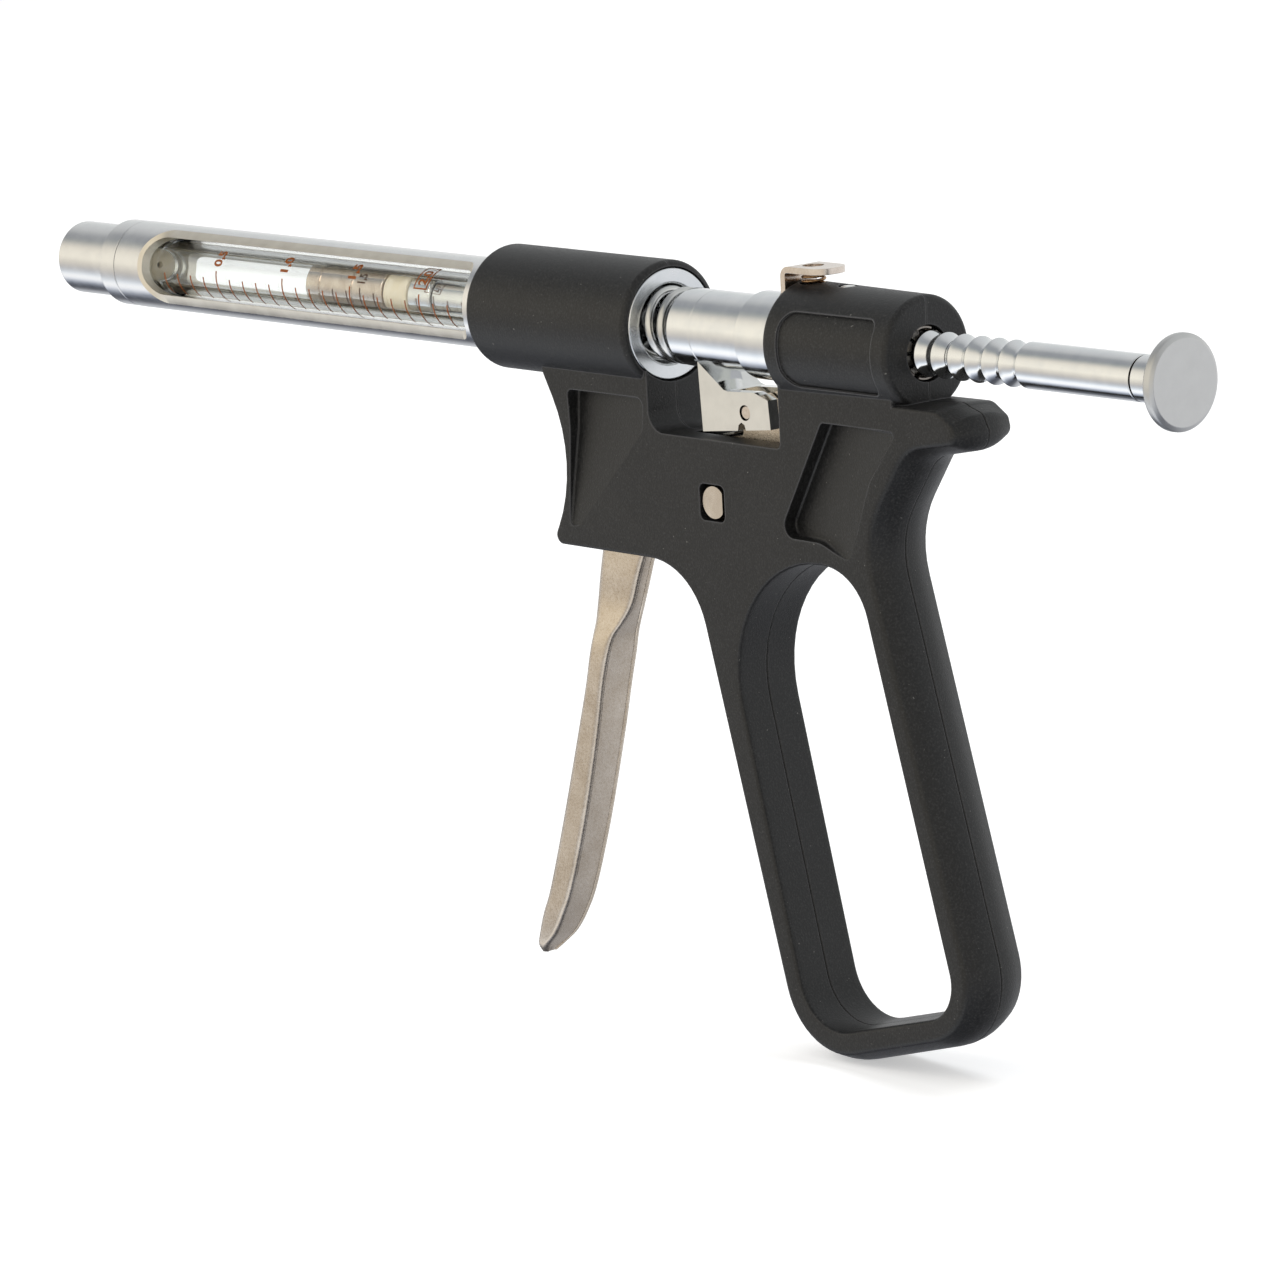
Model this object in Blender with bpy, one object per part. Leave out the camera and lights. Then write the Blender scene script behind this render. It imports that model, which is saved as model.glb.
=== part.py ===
"""Automatic veterinary syringe with a pistol grip and a glass dosing barrel.

Every size below is in millimetres and is turned to metres as a mesh is made.
The working frame has X along the barrel, with the needle end at -X, Y across and Z up.
Its origin lies on the barrel's axis, at the back face of the front collar.
The finished syringe stands with its lowest point at z = 0, centred in X.
"""
import math

import bmesh
import bpy
from mathutils import Matrix, Vector

for old in list(bpy.data.objects):
    bpy.data.objects.remove(old, do_unlink=True)

MM = 0.001

# Clearances
FIT = 0.2
SLIDE = 0.2
FACE_GAP = 0.3
SPLIT_GAP = 0.05

# How far a cutting shape runs on past what it cuts
BEYOND = 20.0

# Dosing scale: one dose is one rib of the rod
DOSE_PITCH = 3.68
DOSES_LEFT = 11.36
ZERO_X = -131.2

# Barrel tube and nose
TUBE_R = 7.5
TUBE_WALL = 2.2
TUBE_FRONT_X = -139.0
NOSE_R = 6.3
NOSE_LENGTH = 13.7
CAP_FLANGE = 4.3
CAP_R = 7.4
NOSE_BORE_R = 4.7
NOSE_BORE_DEPTH = 8.5
CONE_TIP_R = 2.0
CONE_BASE_R = 2.3
CONE_BORE_R = 0.6
WINDOW_FRONT_X = -131.5
WINDOW_REAR_X = -44.0
WINDOW_HALF_HEIGHT = 5.0
WINDOW_CHAMFER = 1.6
WINDOW_END_CHAMFER = 0.7
WINDOW_LIP_DEPTH = 0.5
WINDOW_FRONT_R = 4.3
WINDOW_REAR_R = 1.6
WINDOW_TURN = math.radians(-11.3)

# Glass barrel
GLASS_R = 5.0
BORE_R = 2.94
GLASS_REAR_X = -41.3
SPIGOT_REACH = 4.2
GASKET_LENGTH = 1.0
CLAMP_LENGTH = 6.0

# Front collar and its bush
COLLAR_LENGTH = 39.5
COLLAR_R = 10.2
BUSH_R = 8.94
BUSH_LENGTH = 36.0
BUSH_SHOULDER_X = -16.0
RING_BORE_R = 6.4

# Rear housing
HOUSING_X = 31.6
HOUSING_LENGTH = 27.8
HOUSING_FRONT_R = 9.36
HOUSING_REAR_R = 9.0
GUIDE_R = 6.0
GUIDE_LENGTH = 20.0
GUIDE_INSET = 0.6
GUIDE_TEETH = 2.8
GUIDE_TEETH_R = 4.2
GUIDE_NOTCH = 1.1
GUIDE_NOTCH_DEPTH = 2.0
GUIDE_NOTCHES = 6

# Body and grip
HALF_WIDTH = 6.2
BODY_BOTTOM_Z = -37.1
GRIP_LOW_Z = -115.0
BAR_SLOPE = 0.276
CREST = 1.9
EDGE_ROUND = 0.45
POCKET_FRONT_X = 0.5
POCKET_FLOOR_Z = -16.5
RECESS_DEPTH = 2.6
PANEL_DEPTH = 0.4

# Rod and plunger
ROD_R = 3.6
GROOVE_DEPTH = 1.1
CREST_FLAT = 0.3
RIB_COUNT = 21
RIBS_END_X = 82.0
ROD_END_X = 105.7
KNOB_FACE_X = 114.0
KNOB_R = 7.35
NECK_GAP = 0.35
SLIM_ROD_R = 2.45
ROD_STUD_R = 1.55
ROD_STUD_LENGTH = 9.0
PISTON_STUD_R = 1.45
PISTON_CROWN = 4.0
KNOB_STUD_R = 1.6
KNOB_STUD_LENGTH = 7.7
PISTON_LENGTH = 20.4
PISTON_CLEARANCE = 0.04
RING_LENGTH = 6.1
NUT_LENGTH = 5.8

# Drive sleeve and its catch
SLEEVE_FRONT_X = 5.6
SLEEVE_R = 6.2
SLEEVE_STEP_X = 22.4
SLEEVE_FLANGE_X = 22.8
SLEEVE_FLANGE_R = 7.0
SLEEVE_REAR_X = 30.0
CATCH_R = 5.3
CATCH_LENGTH = 5.4
NOTCH_TOP_Z = -4.3
NOTCH_FRONT_X = 10.2
NOTCH_LENGTH = 4.2

# Springs
RETURN_WIRE_R = 0.68
RETURN_COIL_R = 5.5
LOCK_WIRE_R = 0.22
LOCK_COIL_R = 1.75
SPRING_SEAT_DEPTH = 2.6
SPRING_SEAT_ROOM = 0.35

# Lock plate
PLATE = 1.0
PLATE_HALF_WIDTH = 3.4
LEG_HALF_WIDTH = 5.5
LEG_LOW_Z = -8.0
LEG_SHOULDER_Z = 5.2
TAB_LENGTH = 9.2
TAB_CORNER_R = 2.6
TAB_TOP_Z = 11.8
TAB_HOLE_R = 1.7
TAB_HOLE_X = HOUSING_X + 2.7
PRESS = 1.1

# Trigger, pawl and their pins
PIVOT_X = 14.9
PIVOT_Z = -26.6
PIVOT_R = 2.6
LEVER_HALF_WIDTH = 1.7
PAWL_PIN_X = 21.2
PAWL_PIN_Z = -12.0
PAWL_PIN_R = 1.0
PAWL_HOLE_R = 1.25
PAWL_HALF_WIDTH = 4.0
FORK_REACH = 3.6
GUIDE_SCREW_X = HOUSING_X + 10.5
GUIDE_SCREW_R = 1.4

ROUND = 40
SMALL_ROUND = 24


def rounded(knots):
    """Closed outline through (x, z, radius) knots: straight runs joined by arcs."""
    points = []
    count = len(knots)
    for index, (x, z, radius) in enumerate(knots):
        here = Vector((x, z))
        before = Vector(knots[index - 1][:2])
        after = Vector(knots[(index + 1) % count][:2])
        if radius == 0:
            points.append((x, z))
            continue
        back = (before - here).normalized()
        ahead = (after - here).normalized()
        half = back.angle(ahead) / 2
        reach = radius / math.tan(half)
        centre = here + (back + ahead).normalized() * (radius / math.sin(half))
        start = here + back * reach - centre
        turn = math.pi - 2 * half
        side = 1 if back.x * ahead.y - back.y * ahead.x < 0 else -1
        steps = max(2, round(math.degrees(turn) / 12))
        for step in range(steps + 1):
            angle = side * turn * step / steps
            swung_x = start.x * math.cos(angle) - start.y * math.sin(angle)
            swung_z = start.x * math.sin(angle) + start.y * math.cos(angle)
            points.append((centre.x + swung_x, centre.y + swung_z))
    return points


def circle(x, z, radius, count=SMALL_ROUND):
    """Points round a circle."""
    angles = [2 * math.pi * k / count for k in range(count)]
    return [(x + radius * math.cos(a), z + radius * math.sin(a)) for a in angles]


def arc(x, z, radius, start, end, count):
    """Points along an arc, with its angles in degrees."""
    angles = [math.radians(start + (end - start) * k / count) for k in range(count + 1)]
    return [(x + radius * math.cos(a), z + radius * math.sin(a)) for a in angles]


def join_rings(mesh, first, second):
    """Quads between two closed rings of the same count."""
    count = len(first)
    for k in range(count):
        n = (k + 1) % count
        mesh.faces.new((first[k], first[n], second[n], second[k]))


def closed(mesh):
    """Turn every face of a closed mesh outwards."""
    bmesh.ops.recalc_face_normals(mesh, faces=mesh.faces)
    return mesh


def plate(outlines, low, high, place):
    """Flat plate with holes: outlines[0] is its edge, and the rest are its holes."""
    mesh = bmesh.new()
    edges = []
    for outline in outlines:
        verts = [mesh.verts.new(place(u, v, low)) for u, v in outline]
        for k, vert in enumerate(verts):
            edges.append(mesh.edges.new((vert, verts[(k + 1) % len(verts)])))
    bmesh.ops.triangle_fill(mesh, use_beauty=True, edges=edges)
    grown = bmesh.ops.extrude_face_region(mesh, geom=mesh.faces[:])
    moved = [item for item in grown["geom"] if isinstance(item, bmesh.types.BMVert)]
    shift = Vector(place(0, 0, high)) - Vector(place(0, 0, low))
    bmesh.ops.translate(mesh, vec=shift, verts=moved)
    return closed(mesh)


def side_view(x, z, depth):
    """Outline seen from the side, with its depth along Y."""
    return (x, depth, z)


def end_view(y, z, depth):
    """Outline seen from the end of the barrel, with its depth along X."""
    return (depth, y, z)


def top_view(x, y, depth):
    """Outline seen from above, with its depth along Z."""
    return (x, y, depth)


def turned(profile, count=ROUND):
    """Solid turned about the barrel's axis from an open (x, radius) profile."""
    mesh = bmesh.new()
    rings = []
    for x, radius in profile:
        ring = [mesh.verts.new((x, y, z)) for y, z in circle(0, 0, radius, count)]
        rings.append(ring)
    for first, second in zip(rings, rings[1:]):
        join_rings(mesh, first, second)
    mesh.faces.new(rings[0])
    mesh.faces.new(rings[-1])
    return closed(mesh)


def turned_ring(profile, count=ROUND):
    """Hollow piece turned about the barrel's axis from a closed (x, radius) profile."""
    mesh = bmesh.new()
    rings = []
    for x, radius in profile:
        ring = [mesh.verts.new((x, y, z)) for y, z in circle(0, 0, radius, count)]
        rings.append(ring)
    for first, second in zip(rings, rings[1:] + rings[:1]):
        join_rings(mesh, first, second)
    return closed(mesh)


def sleeve_profile(x0, x1, inner, outer, chamfer=0.0):
    """Closed profile of a plain ring, with its outer edges chamfered."""
    if chamfer == 0:
        return [(x0, inner), (x0, outer), (x1, outer), (x1, inner)]
    edge = outer - chamfer
    ends = [(x0, inner), (x0, edge), (x0 + chamfer, outer)]
    return ends + [(x1 - chamfer, outer), (x1, edge), (x1, inner)]


def post(x, y, low, high, radius, count=SMALL_ROUND):
    """Upright round post."""
    return plate([circle(x, y, radius, count)], low, high, top_view)


def cross_pin(x, z, radius, half, count=SMALL_ROUND):
    """Round pin lying across the syringe."""
    return plate([circle(x, z, radius, count)], -half, half, side_view)


def block(low, high):
    """Box between two corners."""
    outline = [(low[0], low[2]), (high[0], low[2]), (high[0], high[2]), (low[0], high[2])]
    return plate([outline], low[1], high[1], side_view)


FINISHES = {
    "black_polyamide": ((0.028, 0.028, 0.030), 0.0, 0.45),
    "satin_steel": ((0.62, 0.63, 0.65), 1.0, 0.35),
    "zinc_plate": ((0.66, 0.68, 0.71), 1.0, 0.22),
    "nickel_sheet": ((0.50, 0.45, 0.40), 1.0, 0.38),
    "polished_steel": ((0.78, 0.78, 0.76), 1.0, 0.08),
    "spring_steel": ((0.60, 0.60, 0.60), 1.0, 0.25),
    "bronze_wire": ((0.45, 0.30, 0.17), 1.0, 0.30),
    "clear_glass": ((0.95, 0.97, 0.97), 0.0, 0.03),
    "cream_ptfe": ((0.72, 0.64, 0.50), 0.0, 0.45),
    "dark_rubber": ((0.03, 0.03, 0.03), 0.0, 0.70),
    "satin_knob": ((0.50, 0.50, 0.50), 1.0, 0.42),
}
finishes = {}
for finish_name, (colour, metallic, roughness) in FINISHES.items():
    finish = bpy.data.materials.new(finish_name)
    finish.use_nodes = True
    shader = finish.node_tree.nodes["Principled BSDF"]
    shader.inputs["Base Color"].default_value = (*colour, 1.0)
    shader.inputs["Metallic"].default_value = metallic
    shader.inputs["Roughness"].default_value = roughness
    finishes[finish_name] = finish


def mesh_object(name, mesh, origin=(0, 0, 0)):
    """Object holding a mesh built in millimetres, with its own origin."""
    bmesh.ops.translate(mesh, vec=-Vector(origin), verts=mesh.verts)
    bmesh.ops.scale(mesh, vec=(MM, MM, MM), verts=mesh.verts)
    data = bpy.data.meshes.new(name)
    mesh.to_mesh(data)
    mesh.free()
    data.shade_smooth()
    data.set_sharp_from_angle(angle=math.radians(32))
    obj = bpy.data.objects.new(name, data)
    bpy.context.scene.collection.objects.link(obj)
    return obj


def cut(obj, cutter, operation="DIFFERENCE"):
    """Boolean modifier whose second shape stays hidden."""
    cutter.hide_render = True
    cutter.display_type = "WIRE"
    modifier = obj.modifiers.new(cutter.name, "BOOLEAN")
    modifier.operation = operation
    modifier.solver = "EXACT"
    modifier.object = cutter


SPRING_SEAT_Z = HOUSING_FRONT_R - SPRING_SEAT_DEPTH

# How far the slanted bars carry the grip back at its lowest corner
GRIP_REACH = BAR_SLOPE * (BODY_BOTTOM_Z - GRIP_LOW_Z)

# Outline of the grip and body at its side faces, as (x, z, corner radius, crest share)
GRIP_KNOTS = [
    (-25.6, -4.0, 0.0, 0.0),
    (-25.6, -8.9, 3.0, 0.0),
    (-17.6, -23.5, 22.0, 0.0),
    (-25.0, BODY_BOTTOM_Z, 1.5, 0.0),
    (9.0, BODY_BOTTOM_Z, 13.0, 0.0),
    (9.0 + GRIP_REACH, GRIP_LOW_Z, 12.0, 1.0),
    (49.2 + GRIP_REACH, GRIP_LOW_Z + 11.0, 10.2, 1.0),
    (49.3, -29.0, 15.0, 1.0),
    (59.6, -14.0, 8.0, 1.0),
    (70.8, -12.2, 1.3, 0.9),
    (70.3, -9.6, 1.2, 0.7),
    (67.2, -7.5, 2.5, 0.3),
    (57.4, -7.5, 0.0, 0.0),
    (57.4, -4.0, 0.0, 0.0),
]
OPENING_KNOTS = [
    (13.7, -34.1, 20.0),
    (47.5, -34.1, 10.0),
    (45.0 + GRIP_REACH, GRIP_LOW_Z + 13.2, 6.5),
    (11.0 + GRIP_REACH, GRIP_LOW_Z + 4.2, 9.0),
]


def crest_shares(knots):
    """Share of the crest height at each point that rounded() makes for the knots."""
    shares = []
    for index, (x, z, radius, share) in enumerate(knots):
        alone = [(*knot[:3],) for knot in knots]
        made = len(corner_points(alone, index))
        shares.extend([share] * made)
    return shares


def corner_points(knots, index):
    """The points that one knot adds to its outline."""
    kept = [knots[index - 1], knots[index], knots[(index + 1) % len(knots)]]
    flat = [(kept[0][0], kept[0][1], 0.0), kept[1], (kept[2][0], kept[2][1], 0.0)]
    return rounded(flat)[1:-1]


def offset_outline(points, distances):
    """Closed outline moved outwards by a distance of its own at each point."""
    area = sum(a[0] * b[1] - b[0] * a[1] for a, b in zip(points, points[1:] + points[:1]))
    side = 1 if area > 0 else -1
    moved = []
    for k, (x, z) in enumerate(points):
        before = Vector(points[k - 1])
        after = Vector(points[(k + 1) % len(points)])
        along = (after - before).normalized()
        moved.append((x + side * along.y * distances[k], z - side * along.x * distances[k]))
    return moved


grip_outline = rounded([knot[:3] for knot in GRIP_KNOTS])
grip_crest = crest_shares(GRIP_KNOTS)
opening_outline = rounded(OPENING_KNOTS)

# Share of the half width, share of the crest there, and how far the side edge is drawn in.
# The first level runs a little past the middle plane, where the half is then cut off.
GRIP_LEVELS = [
    (-0.065, 1.0, 0.0),
    (0.40, 0.84, 0.0),
    (0.72, 0.48, 0.0),
    (1.0 - EDGE_ROUND / HALF_WIDTH, 0.14, 0.0),
    (1.0, 0.0, EDGE_ROUND),
]


def grip_loops():
    """Outer and opening outlines of the grip at each depth, from the split to the side."""
    loops = []
    for depth_share, crest_share, inset in GRIP_LEVELS:
        outward = [CREST * share * crest_share - inset for share in grip_crest]
        inward = [-inset] * len(opening_outline)
        opening_loop = offset_outline(opening_outline, [-d for d in inward])
        loops.append((HALF_WIDTH * depth_share, offset_outline(grip_outline, outward), opening_loop))
    return loops


def lowest_at_split(loops):
    """Lowest point of the grip's outline where the halves are cut off."""
    (y0, outer0, _), (y1, outer1, _) = loops[:2]
    share = (SPLIT_GAP - y0) / (y1 - y0)
    return min(z0 + (z1 - z0) * share for (_, z0), (_, z1) in zip(outer0, outer1))


GRIP_LOOPS = grip_loops()
AXIS_HEIGHT = -lowest_at_split(GRIP_LOOPS)
NOSE_FRONT_X = TUBE_FRONT_X - FIT - CAP_FLANGE - NOSE_LENGTH
CENTRE_X = (NOSE_FRONT_X + KNOB_FACE_X) / 2


def joint_frame(name, x=0.0, z=0.0):
    """Empty on a joint's axis, which carries the pieces that move with it."""
    empty = bpy.data.objects.new(name, None)
    empty.location = ((x - CENTRE_X) * MM, 0.0, (z + AXIS_HEIGHT) * MM)
    bpy.context.scene.collection.objects.link(empty)
    return empty, (x, 0.0, z)


FRAME = joint_frame("syringe_frame")
PLUNGER = joint_frame("plunger_frame")
SLEEVE = joint_frame("sleeve_frame")
LOCK = joint_frame("lock_frame", TAB_HOLE_X)
TRIGGER = joint_frame("trigger_frame", PIVOT_X, PIVOT_Z)
PAWL = joint_frame("pawl_frame", PAWL_PIN_X, PAWL_PIN_Z)


def add_piece(name, mesh, finish, frame=FRAME):
    """Finished piece, carried by the frame that it moves with."""
    obj = mesh_object(name, mesh, frame[1])
    obj.parent = frame[0]
    obj.data.materials.append(finishes[finish])
    return obj


def add_cutter(name, mesh, frame=FRAME):
    """Hidden shape that trims or joins a piece of the same frame."""
    obj = mesh_object(name, mesh, frame[1])
    obj.parent = frame[0]
    return obj


# Grip and body, in two moulded halves that meet on the syringe's middle plane
def grip_half(side):
    """One half of the grip, from the split plane to its side face."""
    mesh = bmesh.new()
    rings = []
    for depth, outer, opening in GRIP_LOOPS:
        y = side * depth
        outer_ring = [mesh.verts.new((x, y, z)) for x, z in outer]
        opening_ring = [mesh.verts.new((x, y, z)) for x, z in opening]
        rings.append((outer_ring, opening_ring))
    for first, second in zip(rings, rings[1:]):
        join_rings(mesh, first[0], second[0])
        join_rings(mesh, first[1], second[1])
    for outer_ring, opening_ring in (rings[0], rings[-1]):
        edges = []
        for ring in (outer_ring, opening_ring):
            for k, vert in enumerate(ring):
                edges.append(mesh.edges.get((vert, ring[(k + 1) % len(ring)])))
        bmesh.ops.triangle_fill(mesh, use_beauty=True, edges=edges)
    return closed(mesh)


def barrel_edges(x0, r0, x1, r1, edge):
    """Profile of a round moulded housing with softened ends."""
    small = edge * 0.3
    front = [(x0, r0 - edge), (x0 + small, r0 - small), (x0 + edge, r0)]
    return front + [(x1 - edge, r1), (x1 - small, r1 - small), (x1, r1 - edge)]


def wedge(deep, shallow, side):
    """Cutter for a recess whose floor climbs from a deep edge to the side face."""
    mesh = bmesh.new()
    outside = side * (HALF_WIDTH + 1.5)
    floor = side * (HALF_WIDTH - RECESS_DEPTH)
    lip = side * (HALF_WIDTH + 0.02)
    top = [mesh.verts.new((x, outside, z)) for x, z in deep + shallow[::-1]]
    depths = [floor] * len(deep) + [lip] * len(shallow)
    low = [mesh.verts.new((x, y, z)) for (x, z), y in zip(deep + shallow[::-1], depths)]
    join_rings(mesh, top, low)
    count = len(deep)
    for ring in (top, low):
        for k in range(count - 1):
            mesh.faces.new((ring[k], ring[k + 1], ring[-2 - k], ring[-1 - k]))
    bmesh.ops.triangulate(mesh, faces=mesh.faces)
    return closed(mesh)


FRONT_RECESS_DEEP = [(-19.9, -11.7), (-18.9, -15.5), (-18.3, -19.5), (-18.2, -23.5), (-18.5, -28.0), (-19.3, -32.6)]
FRONT_RECESS_SHALLOW = [(-3.2, -11.9), (-1.5, -13.2), (-1.1, -16.5), (-4.4, -20.8), (-10.5, -26.6), (-18.2, -33.6)]
REAR_RECESS_DEEP = [(40.4, -11.4), (36.9, -17.4), (33.6, -23.2), (31.8, -27.6), (33.2, -31.0), (45.4, -32.7)]
REAR_RECESS_SHALLOW = [(57.0, -11.6), (57.9, -12.8), (54.6, -17.6), (51.0, -22.8), (48.6, -26.9), (46.7, -31.6)]

LEVER_SLOT = [
    (-19.6, -39.5), (-18.3, -32.7), (-7.7, -26.1), (4.8, -20.3), (7.8, -14.5), (30.9, -14.5),
    (30.9, -18.0), (24.2, -28.0), (20.8, -33.2), (8.0, -34.2), (3.2, -37.0), (3.2, -39.5),
]
SLOT_HALF_WIDTH = LEVER_HALF_WIDTH + FACE_GAP
PIVOT_HOLE = 2.95


def body_cutters():
    """Shapes cut from both halves, each through the middle plane."""
    collar_bore_r = BUSH_R + FIT
    bores = turned([(-BUSH_LENGTH - FACE_GAP, collar_bore_r), (1.0, collar_bore_r)])
    lip = turned([(-COLLAR_LENGTH - 1.0, TUBE_R + FIT), (-BUSH_LENGTH, TUBE_R + FIT)])
    pocket_knots = [
        (POCKET_FRONT_X, 14.0, 0.0), (POCKET_FRONT_X, POCKET_FLOOR_Z, 3.4),
        (HOUSING_X, POCKET_FLOOR_Z, 0.9), (HOUSING_X, 14.0, 0.0),
    ]
    pocket = plate([rounded(pocket_knots)], -12.0, 12.0, side_view)
    rod_way = turned([(HOUSING_X - 1.0, ROD_R + 0.8), (HOUSING_X + HOUSING_LENGTH + 1.0, ROD_R + 0.8)], 32)
    guide_x = HOUSING_X + HOUSING_LENGTH - GUIDE_LENGTH
    guide_room = turned([
        (guide_x - FACE_GAP - 3.0, GUIDE_R + FIT),
        (guide_x + GUIDE_LENGTH - GUIDE_INSET - GUIDE_TEETH + FACE_GAP, GUIDE_R + FIT),
    ], 32)
    slot = plate([LEVER_SLOT], -SLOT_HALF_WIDTH, SLOT_HALF_WIDTH, side_view)
    hole_knots = [
        (PIVOT_X + dx, PIVOT_Z + dz, 1.1)
        for dx, dz in ((-PIVOT_HOLE, -PIVOT_HOLE), (PIVOT_HOLE, -PIVOT_HOLE),
                       (PIVOT_HOLE, PIVOT_HOLE), (-PIVOT_HOLE, PIVOT_HOLE))
    ]
    pivot_hole = plate([rounded(hole_knots)], -12.0, 12.0, side_view)
    seat_r = LOCK_COIL_R + LOCK_WIRE_R + SPRING_SEAT_ROOM
    spring_seat = post(TAB_HOLE_X, 0.0, SPRING_SEAT_Z, TAB_TOP_Z, seat_r)
    screw_hole = post(GUIDE_SCREW_X, 0.0, GUIDE_R - 2.0, 12.0, GUIDE_SCREW_R + FIT)
    return {
        "collar_bore": bores, "collar_lip": lip, "spring_seat": spring_seat, "screw_hole": screw_hole,
        "body_pocket": pocket, "rod_way": rod_way, "guide_room": guide_room,
        "pivot_hole": pivot_hole, "lever_slot": slot,
    }


def badge_panel(side):
    """Cutter for the shallow blank panel on the side of the rear housing."""
    x0 = HOUSING_X + 3.4
    x1 = HOUSING_X + 24.4
    knots = [(x0, -6.0, 3.0), (x1, -6.0, 1.6), (x1, 5.3, 1.6), (x0, 5.3, 3.0)]
    low, high = sorted((side * 5.0, side * 12.0))
    panel = add_cutter(f"badge_panel_{side}", plate([rounded(knots)], low, high, side_view))
    core_r = HOUSING_FRONT_R - PANEL_DEPTH
    end_r = HOUSING_REAR_R - PANEL_DEPTH
    core = turned([(HOUSING_X - 1.0, core_r), (HOUSING_X + HOUSING_LENGTH + 1.0, end_r)])
    cut(panel, add_cutter(f"badge_core_{side}", core))
    return panel


collar_mesh = turned(barrel_edges(-COLLAR_LENGTH, COLLAR_R, 0.0, COLLAR_R, 0.9))
collar = add_cutter("collar_shape", collar_mesh)
housing_end = HOUSING_X + HOUSING_LENGTH
housing_mesh = turned(barrel_edges(HOUSING_X, HOUSING_FRONT_R, housing_end, HOUSING_REAR_R, 0.9))
housing = add_cutter("housing_shape", housing_mesh)
shared_cutters = [add_cutter(name, mesh) for name, mesh in body_cutters().items()]
for name, side in (("body_shell_left", -1), ("body_shell_right", 1)):
    shell = add_piece(name, grip_half(side), "black_polyamide")
    cut(shell, collar, "UNION")
    cut(shell, housing, "UNION")
    low, high = sorted((side * SPLIT_GAP, -side * BEYOND))
    half_low = (-COLLAR_LENGTH - BEYOND, low, GRIP_LOW_Z - BEYOND)
    half_high = (housing_end + BEYOND, high, COLLAR_R + BEYOND)
    cut(shell, add_cutter(f"half_space_{side}", block(half_low, half_high)))
    for cutter in shared_cutters:
        cut(shell, cutter)
    front = wedge(FRONT_RECESS_DEEP, FRONT_RECESS_SHALLOW, side)
    cut(shell, add_cutter(f"front_recess_{side}", front))
    rear = wedge(REAR_RECESS_DEEP, REAR_RECESS_SHALLOW, side)
    cut(shell, add_cutter(f"rear_recess_{side}", rear))
    cut(shell, badge_panel(side))

# Barrel bush: the plated ring held in the collar, which carries the tube
bush_profile = [
    (-BUSH_LENGTH, TUBE_R + FIT), (-BUSH_LENGTH, BUSH_R), (-0.35, BUSH_R), (0.0, BUSH_R - 0.35),
    (0.0, RING_BORE_R + 0.5), (-0.5, RING_BORE_R), (BUSH_SHOULDER_X, RING_BORE_R),
    (BUSH_SHOULDER_X, TUBE_R + FIT),
]
add_piece("barrel_bush", turned_ring(bush_profile), "zinc_plate")

# Barrel tube with a milled window through both sides. It is screwed in, and its window stands a little turned.
tube_rear = BUSH_SHOULDER_X - FACE_GAP
tube_inner = TUBE_R - TUBE_WALL
tube_mesh = turned_ring([
    (TUBE_FRONT_X, tube_inner), (TUBE_FRONT_X, TUBE_R), (tube_rear, TUBE_R), (tube_rear, tube_inner),
])


def window_outline(grow):
    """Window seen from the side, grown by a share of its chamfer."""
    half = WINDOW_HALF_HEIGHT + WINDOW_CHAMFER * grow
    x0 = WINDOW_FRONT_X - WINDOW_END_CHAMFER * grow
    x1 = WINDOW_REAR_X + WINDOW_END_CHAMFER * grow
    front_r = WINDOW_FRONT_R + WINDOW_CHAMFER * grow
    rear_r = WINDOW_REAR_R + WINDOW_CHAMFER * grow
    return rounded([(x0, -half, front_r), (x1, -half, rear_r), (x1, half, rear_r), (x0, half, front_r)])


def window_cutter():
    """Milling shape: straight through the wall, opening out at both outer faces."""
    inner = window_outline(0.0)
    outer = window_outline(1.0)
    wall_r = TUBE_R - WINDOW_LIP_DEPTH
    face_r = TUBE_R + 0.1
    mesh = bmesh.new()
    rings = []
    for outline, reach, side in ((outer, None, -1), (outer, face_r, -1), (inner, wall_r, -1),
                                 (inner, wall_r, 1), (outer, face_r, 1), (outer, None, 1)):
        ring = []
        for x, z in outline:
            y = TUBE_R + 2.0 if reach is None else math.sqrt(reach * reach - z * z)
            ring.append(mesh.verts.new((x, side * y, z)))
        rings.append(ring)
    for first, second in zip(rings, rings[1:]):
        join_rings(mesh, first, second)
    for ring in (rings[0], rings[-1]):
        edges = [mesh.edges.get((v, ring[(k + 1) % len(ring)])) for k, v in enumerate(ring)]
        bmesh.ops.triangle_fill(mesh, use_beauty=True, edges=edges)
    bmesh.ops.triangulate(mesh, faces=mesh.faces)
    bmesh.ops.rotate(mesh, cent=(0, 0, 0), matrix=Matrix.Rotation(WINDOW_TURN, 3, "X"), verts=mesh.verts)
    return closed(mesh)


tube = add_piece("barrel_tube", tube_mesh, "satin_steel")
cut(tube, add_cutter("window_shape", window_cutter()))

# Front cap: the nose and its spigot, with the needle cone standing in its bore
cap_rear = TUBE_FRONT_X - FIT
flange_x = NOSE_FRONT_X + NOSE_LENGTH
spigot_end = ZERO_X - SPIGOT_REACH
bore_end = NOSE_FRONT_X + NOSE_BORE_DEPTH
cap_profile = [
    (NOSE_FRONT_X, NOSE_BORE_R), (NOSE_FRONT_X, NOSE_R - 0.4), (NOSE_FRONT_X + 0.4, NOSE_R),
    (flange_x, NOSE_R), (flange_x, CAP_R - 0.3), (flange_x + 0.3, CAP_R),
    (cap_rear, CAP_R), (cap_rear, tube_inner - FIT), (spigot_end, tube_inner - FIT),
    (spigot_end, CONE_BASE_R + FIT), (bore_end, CONE_BASE_R + FIT), (bore_end, NOSE_BORE_R),
]
add_piece("front_cap", turned_ring(cap_profile), "satin_steel")
cone_profile = [
    (NOSE_FRONT_X + 0.6, CONE_BORE_R), (NOSE_FRONT_X + 0.6, CONE_TIP_R),
    (bore_end - 0.4, CONE_BASE_R), (spigot_end, CONE_BASE_R), (spigot_end, CONE_BORE_R),
]
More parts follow.
